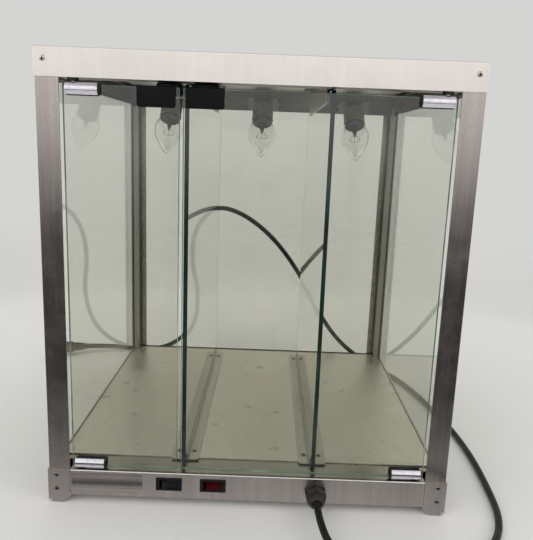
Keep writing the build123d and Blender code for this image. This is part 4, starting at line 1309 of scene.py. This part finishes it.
# ------------------------------------------------------------------ lamps
@dataclass
class Lamps:
    """Three flame-shaped lamps in grey sockets, tilted forward on the tabs of the lamp rail."""

    pitch: float = 0.160
    tilt: float = 39.0
    tab_middle: float = 0.0165
    rail_flange: float = 0.010
    sheet: float = 0.0012
    socket_radius: float = 0.018
    socket_length: float = 0.034
    nipple: float = 0.0035
    shell_round: float = 0.007
    glass: float = 0.0007
    profile: tuple[tuple[float, float], ...] = (
        (0.0130, 0.0100), (0.0133, 0.0070), (0.0146, 0.0030), (0.0170, -0.0030), (0.0200, -0.0090),
        (0.0225, -0.0160), (0.0236, -0.0225), (0.0238, -0.0270), (0.0232, -0.0330), (0.0216, -0.0390),
        (0.0193, -0.0445), (0.0166, -0.0500), (0.0138, -0.0555), (0.0111, -0.0610), (0.0086, -0.0660),
        (0.0062, -0.0700), (0.0040, -0.0730), (0.0020, -0.0752), (0.0, -0.0760),
    )

    @property
    def rim(self) -> float:
        """The socket's rim along the lamp's axis, below the tab."""
        return -self.sheet - self.nipple - self.socket_length

    def places(self) -> list[Matrix]:
        """The frames of the lamps, on their tabs, each lamp running along its own -Z.

        Returns:
            One frame for each lamp, from left to right.
        """
        low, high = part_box("lamp_rail")
        centre = middle("lamp_sockets").x
        angle = math.radians(self.tilt)
        y = high.y - self.rail_flange + self.sheet / 2 - self.tab_middle * math.cos(angle)
        z = low.z + self.tab_middle * math.sin(angle)
        turn = Matrix.Rotation(-angle, 4, "X")
        return [Matrix.Translation((centre + step * self.pitch, y, z)) @ turn for step in (-1, 0, 1)]

    def build(self) -> None:
        """Makes the lamps."""
        shells, liners, bulbs, caps, stems, beads = Solid(), Solid(), Solid(), Solid(), Solid(), Solid()
        for number, place in enumerate(self.places(), 1):
            self.socket(shells, liners, place)
            self.bulb(bulbs, place)
            self.cap(caps, place)
            self.stem(stems, beads, place)
            self.filament(place, number)
        deliver(
            shells.piece("socket_sleeves"), "case", "socket_shell", SOCKET_SHELL, replaces=["lamp_sockets"]
        )
        deliver(liners.piece("socket_liners"), "case", "socket_shell", SOCKET_INSIDE)
        deliver(bulbs.piece("bulb_glass"), "case", "bulb_glass", BULB_GLASS, replaces=["bulb_envelopes"])
        deliver(caps.piece("bulb_screw_caps"), "case", "cap_brass", BRASS, replaces=["bulb_caps"])
        deliver(
            stems.piece("bulb_stems"), "case", "filament_glass", STEM_GLASS,
            replaces=["bulb_filament_mounts"]
        )
        deliver(beads.piece("bulb_beads"), "case", "filament_glass", TUNGSTEN)

    def socket(self, shells: Solid, liners: Solid, place: Matrix) -> None:
        """Adds a sleeve with a rounded back and a rolled rim, and its dark liner.

        Args:
            shells: Takes the sleeve.
            liners: Takes the liner.
            place: The lamp's frame.
        """
        radius, back, rim = self.socket_radius, -self.sheet - self.nipple, self.rim
        curve = self.shell_round
        outer = [(0.005, 0.0), (0.005, back)]
        for step in range(8):
            angle = math.radians(90 * step / 7)
            outer.append((radius - curve + curve * math.sin(angle), back - curve + curve * math.cos(angle)))
        outer += [(radius, rim + 0.0022), (radius + 0.0005, rim + 0.0016), (radius + 0.0005, rim + 0.0005)]
        outer += [(radius, rim), (radius - 0.0014, rim), (radius - 0.0016, rim + 0.001)]
        inner = [
            (radius - 0.0016, back - curve), (radius - 0.006, back - 0.0016), (0.0035, back - 0.0016),
            (0.0035, 0.0)
        ]
        shells.lathe(
            [(r, h - 0.0012) if h == 0.0 else (r, h) for r, h in outer + inner], place, 56, looped=True
        )
        liner = radius - 0.0017
        liners.lathe(
            [(liner, rim + 0.0022), (liner, back - curve), (0.0, back - curve), (0.0, back - curve - 0.001),
             (0.0136, back - curve - 0.001), (0.0136, rim + 0.0085), (0.0150, rim + 0.0030)],
            place, 48, looped=False,
        )

    def bulb(self, bulbs: Solid, place: Matrix) -> None:
        """Adds a thin glass envelope.

        Args:
            bulbs: Takes the glass.
            place: The lamp's frame.
        """
        outside = [(radius, self.rim + along) for radius, along in self.profile]
        inside = []
        for radius, along in reversed(self.profile):
            inside.append((max(radius - self.glass, 0.0), self.rim + along + self.glass * (radius < 0.009)))
        bulbs.lathe(outside + inside, place, 64, looped=True)

    def cap(self, caps: Solid, place: Matrix) -> None:
        """Adds a screw cap with its rolled thread and end contact.

        Args:
            caps: Takes the cap.
            place: The lamp's frame.
        """
        base = self.rim + 0.0102
        profile = [(0.0, base), (0.0128, base), (0.0132, base + 0.0008)]
        turns, steps = 4, 6
        for step in range(turns * steps + 1):
            wave = math.cos(2 * math.pi * step / steps)
            profile.append((0.0126 + 0.0005 * wave, base + 0.0014 + 0.0118 * step / (turns * steps)))
        profile += [(0.0112, base + 0.0144), (0.0075, base + 0.0165), (0.0046, base + 0.0167)]
        profile += [(0.0040, base + 0.0178), (0.0, base + 0.0182)]
        caps.lathe(profile, place, 40)

    def stem(self, stems: Solid, beads: Solid, place: Matrix) -> None:
        """Adds the glass stem with its pinched end and the dark bead under it.

        Args:
            stems: Takes the glass.
            beads: Takes the bead.
            place: The lamp's frame.
        """
        top = self.rim + 0.0095
        sections = [
            ([(u * width, v * depth) for u, v in regular_ring(1.0, 4, 1.0, 28)], top - along)
            for along, width, depth in (
                (0.0, 0.0105, 0.0105), (0.002, 0.0070, 0.0070), (0.006, 0.0042, 0.0042), (
                    0.020, 0.0034, 0.0034
                ),
                (0.025, 0.0036, 0.0020), (0.0295, 0.0032, 0.0016), (0.0305, 0.0020, 0.0012),
            )
        ]
        stems.loft(sections, place)
        bead = place @ Matrix.Translation((0, 0, self.rim - 0.0245))
        profile = [(0.0021 * math.sin(math.radians(a)), -0.0019 * math.cos(math.radians(a))) for a in range(0, 181, 30)]
        beads.lathe([(max(r, 0.0), h) for r, h in profile], bead, 20)
        beads.lathe([(0.0, 0.0012), (0.0007, 0.0012), (0.0007, 0.0058), (0.0, 0.0058)], bead, 12)

    def filament(self, place: Matrix, number: int) -> None:
        """Makes the lead wires and the coiled filament that hangs between them.

        Args:
            place: The lamp's frame.
            number: The lamp's number, for the pieces' names.
        """
        rim, reach, drop = self.rim, 0.0095, 0.0335
        leads = bpy.data.curves.new(f"bulb_leads_{number}", "CURVE")
        leads.dimensions = "3D"
        leads.bevel_depth = 0.00036
        leads.bevel_resolution = 2
        for route in (
            [(-0.0016, 0, -0.017), (-0.0030, 0, -0.025), (-reach, 0, -drop)],
            [(0.0016, 0, -0.017), (0.0030, 0, -0.025), (reach, 0, -drop)],
            [(0, 0.0004, -0.0245), (0, 0.003, -0.028), (0, 0.0055, -drop + 0.001)],
        ):
            self.strand(leads, [place @ Vector((x, y, rim + along)) for x, y, along in route])
        self.link_curve(leads, TUNGSTEN)
        coil = bpy.data.curves.new(f"bulb_filament_{number}", "CURVE")
        coil.dimensions = "3D"
        coil.bevel_depth = 0.00014
        coil.bevel_resolution = 1
        turns, steps, radius = 26, 8, 0.0006
        route = []
        for step in range(turns * steps + 1):
            share = step / (turns * steps)
            swing = math.pi * share
            centre = Vector((-reach * math.cos(swing), 0.0055 * math.sin(swing), rim - drop))
            turn = 2 * math.pi * turns * share
            ring = Vector((0, radius * math.cos(turn), radius * math.sin(turn)))
            route.append(place @ (centre + ring))
        self.strand(coil, route)
        self.link_curve(coil, TUNGSTEN)

    @staticmethod
    def strand(curve: bpy.types.Curve, points: Sequence[Vector]) -> None:
        """Adds a smooth strand through a curve's control points."""
        spline = curve.splines.new("NURBS")
        spline.points.add(len(points) - 1)
        for control, point in zip(spline.points, points):
            control.co = (*point, 1.0)
        spline.order_u = 3
        spline.use_endpoint_u = True
        spline.resolution_u = 3

    @staticmethod
    def link_curve(curve: bpy.types.Curve, finish: Finish) -> None:
        """Puts a curve into the scene as a piece of the case."""
        made = bpy.data.objects.new(curve.name, curve)
        bpy.context.scene.collection.objects.link(made)
        deliver(made, "case", "filament_glass", finish)


# ------------------------------------------------------------------ switches
@dataclass
class RockerSwitch:
    """A snap-in switch: bezel and pocket in the panel, and a V-faced rocker on two pins."""

    name: str
    finish: Finish
    slot: str
    bezel_width: float = 0.0315
    bezel_height: float = 0.0164
    proud: float = 0.0015
    body_width: float = 0.0276
    body_height: float = 0.0140
    pocket_width: float = 0.0218
    pocket_height: float = 0.0106
    rocker_width: float = 0.019
    rocker_height: float = 0.010
    pivot_depth: float = 0.0045
    swing: float = 24.0

    def centre(self) -> Vector:
        """The middle of the rocker's pins, brought forward to the panel's face."""
        pivot = next(joint for joint in frame["joints"] if joint["child"] == self.body)["pos_m"]
        return Vector((pivot[0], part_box("base_front_panel")[0].y, pivot[2]))

    @property
    def body(self) -> str:
        """The rocker's body."""
        return f"{self.name.split('_')[0]}_rocker"

    def housing(self, solid: Solid) -> None:
        """Adds the bezel, its pocket and the body behind the panel.

        Args:
            solid: Takes the housing.
        """
        place = axes(self.centre(), (0, -1, 0), (1, 0, 0))
        stations = [
            (self.pocket_width, self.pocket_height, 0.0006, -0.0118),
            (self.pocket_width, self.pocket_height, 0.0006, self.proud - 0.0004),
            (self.pocket_width + 0.0008, self.pocket_height + 0.0008, 0.0008, self.proud),
            (self.bezel_width - 0.0012, self.bezel_height - 0.0012, 0.0008, self.proud),
            (self.bezel_width, self.bezel_height, 0.0010, self.proud - 0.0006),
            (self.bezel_width, self.bezel_height, 0.0010, 0.00005),
            (self.body_width, self.body_height, 0.0008, 0.00005),
            (self.body_width, self.body_height, 0.0008, -0.0196),
            (self.body_width - 0.001, self.body_height - 0.001, 0.0008, -0.020),
        ]
        solid.loft([(rounded_rectangle(w, h, corner), height) for w, h, corner, height in stations], place)
        for x in (-0.007, 0.007):
            outline = [(x + u, v) for u, v in rounded_rectangle(0.0008, 0.0062, 0.0003)]
            solid.prism(outline, -0.028, -0.0195, place)

    def rocker(self) -> None:
        """Makes the rocker at rest, with its left end out."""
        centre = self.centre()
        turn = Matrix.Rotation(math.radians(self.swing / 2), 4, "Z")
        place = Matrix.Translation((centre.x, centre.y + self.pivot_depth, centre.z)) @ turn
        half, face = self.rocker_width / 2, -self.pivot_depth - 0.0006
        end = face - half * math.tan(math.radians(self.swing / 2))
        outline = [
            (0, face), (half, end), (half, -0.001), (0.0065, 0.007), (-0.0065, 0.007), (-half, -0.001),
            (-half, end)
        ]
        solid = Solid().prism(outline, -self.rocker_height / 2, self.rocker_height / 2, place).eased(
            0.0005, 3, 15
        )
        for side in (-1, 1):
            for rib in range(3):
                along = side * (half - 0.0018 - 0.0015 * rib)
                y = face + (end - face) * abs(along) / half
                low = (along - 0.00035, y - 0.00022, -self.rocker_height / 2 + 0.0016)
                high = (along + 0.00035, y + 0.0004, self.rocker_height / 2 - 0.0016)
                outline = [(low[0], low[1]), (high[0], low[1]), (high[0], high[1]), (low[0], high[1])]
                solid.prism(outline, low[2], high[2], place)
        for side in (-1, 1):
            pin = place @ Matrix.Translation((0, 0, side * 0.0048))
            solid.lathe(
                [(0, 0), (0.001, 0), (0.001, 0.00085), (0, 0.00085)],
                pin @ Matrix.Rotation(0 if side > 0 else math.pi, 4, "X"), 16
            )
        piece = solid.piece(f"{self.name}_paddle")
        deliver(piece, self.body, self.slot, self.finish, replaces=[f"{self.name}_rocker"])


@dataclass
class SwitchPanel:
    """The lamp switch and the heat switch."""

    switches: tuple[RockerSwitch, ...] = field(
        default_factory=lambda: (
            RockerSwitch("light_switch", BLACK_PLASTIC, "black_plastic"),
            RockerSwitch("heat_switch", RED_LENS, "red_lens"),
        )
    )

    def build(self) -> None:
        """Makes the housings and the rockers."""
        housings = Solid()
        for switch in self.switches:
            switch.housing(housings)
            switch.rocker()
        deliver(
            housings.piece("switch_bezels"), "case", "black_plastic", BLACK_PLASTIC,
            replaces=["switch_housings"]
        )


# ------------------------------------------------------------------ studio
@dataclass
class Studio:
    """A pale floor, soft light and the camera."""

    eye: Point = (0.0134, -0.9047, 0.4348)
    down: float = 11.49
    aside: float = 0.02
    roll: float = 2.14
    lens: float = 40.57
    floor_half: float = 6.0
    fade_start: float = 0.9
    fade_end: float = 2.6
    pale: float = 0.66
    front: tuple[tuple[float, float], ...] = (
        (-90, 0.75), (-60, 0.72), (-38, 0.62), (-31.5, 0.58), (-28, 0.24), (-24, 0.05), (-12, 0.03),
        (-7, 0.08), (-3, 0.42), (0, 0.78), (3.5, 1.08), (8, 1.2), (30, 1.05), (60, 0.55), (90, 0.3),
    )
    rear: tuple[tuple[float, float], ...] = ((-90, 0.7), (-10, 0.7), (45, 0.72), (90, 0.4))

    def camera(self) -> None:
        """Places the camera."""
        pitch, yaw, roll = (math.radians(angle) for angle in (self.down, self.aside, self.roll))
        forward = Vector((math.sin(yaw) * math.cos(pitch), math.cos(yaw) * math.cos(pitch), -math.sin(pitch)))
        right = Vector((math.cos(yaw), -math.sin(yaw), 0))
        up = right.cross(forward)
        across = right * math.cos(roll) + up * math.sin(roll)
        above = up * math.cos(roll) - right * math.sin(roll)
        data = bpy.data.cameras.new("camera")
        data.lens = self.lens
        data.sensor_width = 36.0
        data.clip_start = 0.01
        camera = bpy.data.objects.new("camera", data)
        turn = Matrix((across, above, -forward)).transposed().to_4x4()
        camera.matrix_world = Matrix.Translation(self.eye) @ turn
        bpy.context.scene.collection.objects.link(camera)
        bpy.context.scene.camera = camera

    def floor(self) -> None:
        """Lays the pale floor, which fades into the surroundings far from the case."""
        recipe = Recipe("floor_paper")
        clouds = recipe.noise((0.6, 0.6, 0.6), detail=3)
        recipe.dress(
            Base_Color=recipe.mixed(recipe.ranged(clouds, 0, 1), paint(226, 226, 224), paint(230, 230, 228)),
            Roughness=0.9,
            Specular_IOR_Level=0.1,
        )
        distance = recipe.node("ShaderNodeVectorMath", operation="LENGTH")
        recipe.feed(distance.inputs[0], recipe.place)
        fade = recipe.ranged(distance.outputs["Value"], 0, 1, self.fade_start, self.fade_end)
        clear = recipe.node("ShaderNodeBsdfTransparent")
        recipe.show(recipe.either(fade, recipe.surface.outputs[0], clear.outputs[0]))
        half = self.floor_half
        piece = Solid().block((-half, -half, -0.01), (half, half, 0.0)).piece("studio_floor")
        piece.data.materials.append(recipe.material)
        piece.visible_glossy = False

    def lamps(self) -> None:
        """Hangs the soft boxes."""
        for name, place, aim, size, power in (
            ("key_box", (-1.1, -1.7, 1.7), (0, 0, 0.3), (1.6, 1.1), 9.0),
            ("fill_box", (1.5, -1.2, 1.2), (0, 0, 0.25), (1.2, 1.2), 4.0),
            ("top_box", (0.0, 0.2, 2.2), (0, 0, 0.0), (1.8, 1.8), 8.0),
            ("rear_box", (0.3, 2.2, 1.5), (0, 0, 0.2), (2.2, 1.4), 6.0),
        ):
            data = bpy.data.lights.new(name, "AREA")
            data.shape = "RECTANGLE"
            data.size, data.size_y = size
            data.energy = power
            light = bpy.data.objects.new(name, data)
            light.visible_glossy = False
            light.matrix_world = axes(place, Vector(place) - Vector(aim), (1, 0, 0))
            bpy.context.scene.collection.objects.link(light)

    def ramp(
        self, tree: bpy.types.NodeTree, height: bpy.types.NodeSocket, levels: Sequence[tuple[float, float]]
    ) -> bpy.types.NodeSocket:
        """Brightness of the surroundings by elevation.

        Args:
            tree: The world's nodes.
            height: The direction's upward share, from 0 for down to 1 for up.
            levels: Pairs of an elevation in degrees and a brightness.

        Returns:
            The brightness.
        """
        made = tree.nodes.new("ShaderNodeValToRGB")
        tree.links.new(height, made.inputs[0])
        stops = made.color_ramp.elements
        for index, (elevation, level) in enumerate(levels):
            place = (math.sin(math.radians(elevation)) + 1) / 2
            stop = stops[index] if index < 1 else (
                stops[-1] if index == len(levels) - 1 else stops.new(place)
            )
            stop.position = place
            stop.color = (level, level * 0.985, level * 0.97, 1)
        return made.outputs[0]

    def surroundings(self) -> None:
        """Makes a room that is pale to look at and dark low down in front of the doors."""
        world = bpy.data.worlds.new("surroundings")
        bpy.context.scene.world = world
        world.use_nodes = True
        tree = world.node_tree
        parts = tree.nodes.new("ShaderNodeSeparateXYZ")
        tree.links.new(tree.nodes.new("ShaderNodeTexCoord").outputs["Generated"], parts.inputs[0])
        height, ahead = tree.nodes.new("ShaderNodeMapRange"), tree.nodes.new("ShaderNodeMapRange")
        for socket, value in zip(height.inputs[1:5], (-1.0, 1.0, 0.0, 1.0)):
            socket.default_value = value
        for socket, value in zip(ahead.inputs[1:5], (0.1, -0.35, 0.0, 1.0)):
            socket.default_value = value
        tree.links.new(parts.outputs["Z"], height.inputs[0])
        tree.links.new(parts.outputs["Y"], ahead.inputs[0])
        room = tree.nodes.new("ShaderNodeMixRGB")
        tree.links.new(ahead.outputs[0], room.inputs[0])
        tree.links.new(self.ramp(tree, height.outputs[0], self.rear), room.inputs[1])
        tree.links.new(self.ramp(tree, height.outputs[0], self.front), room.inputs[2])
        ray = tree.nodes.new("ShaderNodeLightPath")
        seen = tree.nodes.new("ShaderNodeMath")
        seen.operation = "MAXIMUM"
        tree.links.new(ray.outputs["Is Camera Ray"], seen.inputs[0])
        tree.links.new(ray.outputs["Is Transmission Ray"], seen.inputs[1])
        shown = tree.nodes.new("ShaderNodeMixRGB")
        tree.links.new(seen.outputs[0], shown.inputs[0])
        tree.links.new(room.outputs[0], shown.inputs[1])
        shown.inputs[2].default_value = (self.pale, self.pale, self.pale * 0.985, 1)
        tree.links.new(shown.outputs[0], tree.nodes["Background"].inputs["Color"])
        bpy.context.scene.view_settings.view_transform = "Standard"

    def build(self) -> None:
        """Sets up the studio."""
        self.camera()
        self.floor()
        self.lamps()
        self.surroundings()
        log.info("studio is up")


# ------------------------------------------------------------------ the case
def glazing() -> list[GlassSheet]:
    """The fixed panes, the dividers and the doors.

    Returns:
        The sheets of glass.
    """
    sheets = [GlassSheet("rear_glass", "case", PANE_GLASS, GLASS_EDGE)]
    for side in ("left", "right"):
        sheets.append(GlassSheet(f"{side}_side_glass", "case", WALL_GLASS, GLASS_EDGE))
        sheets.append(GlassSheet(f"{side}_divider_glass", "case", WALL_GLASS, GLASS_EDGE))
        sheets.append(GlassSheet(f"{side}_door_glass", f"{side}_door", DOOR_GLASS, DOOR_EDGE))
    return sheets


def main() -> None:
    """Builds the studio and the whole case, in order."""
    logging.basicConfig(level=logging.INFO, format="%(message)s")
    Studio().build()
    MainsLead().build()
    SheetMetal().build()
    for sheet in glazing():
        sheet.build()
    for side, sign in (("left", -1), ("right", 1)):
        DoorFittings(side, sign).build()
    TouchCatches().build()
    Lamps().build()
    SwitchPanel().build()


if __name__ == "__main__":
    main()
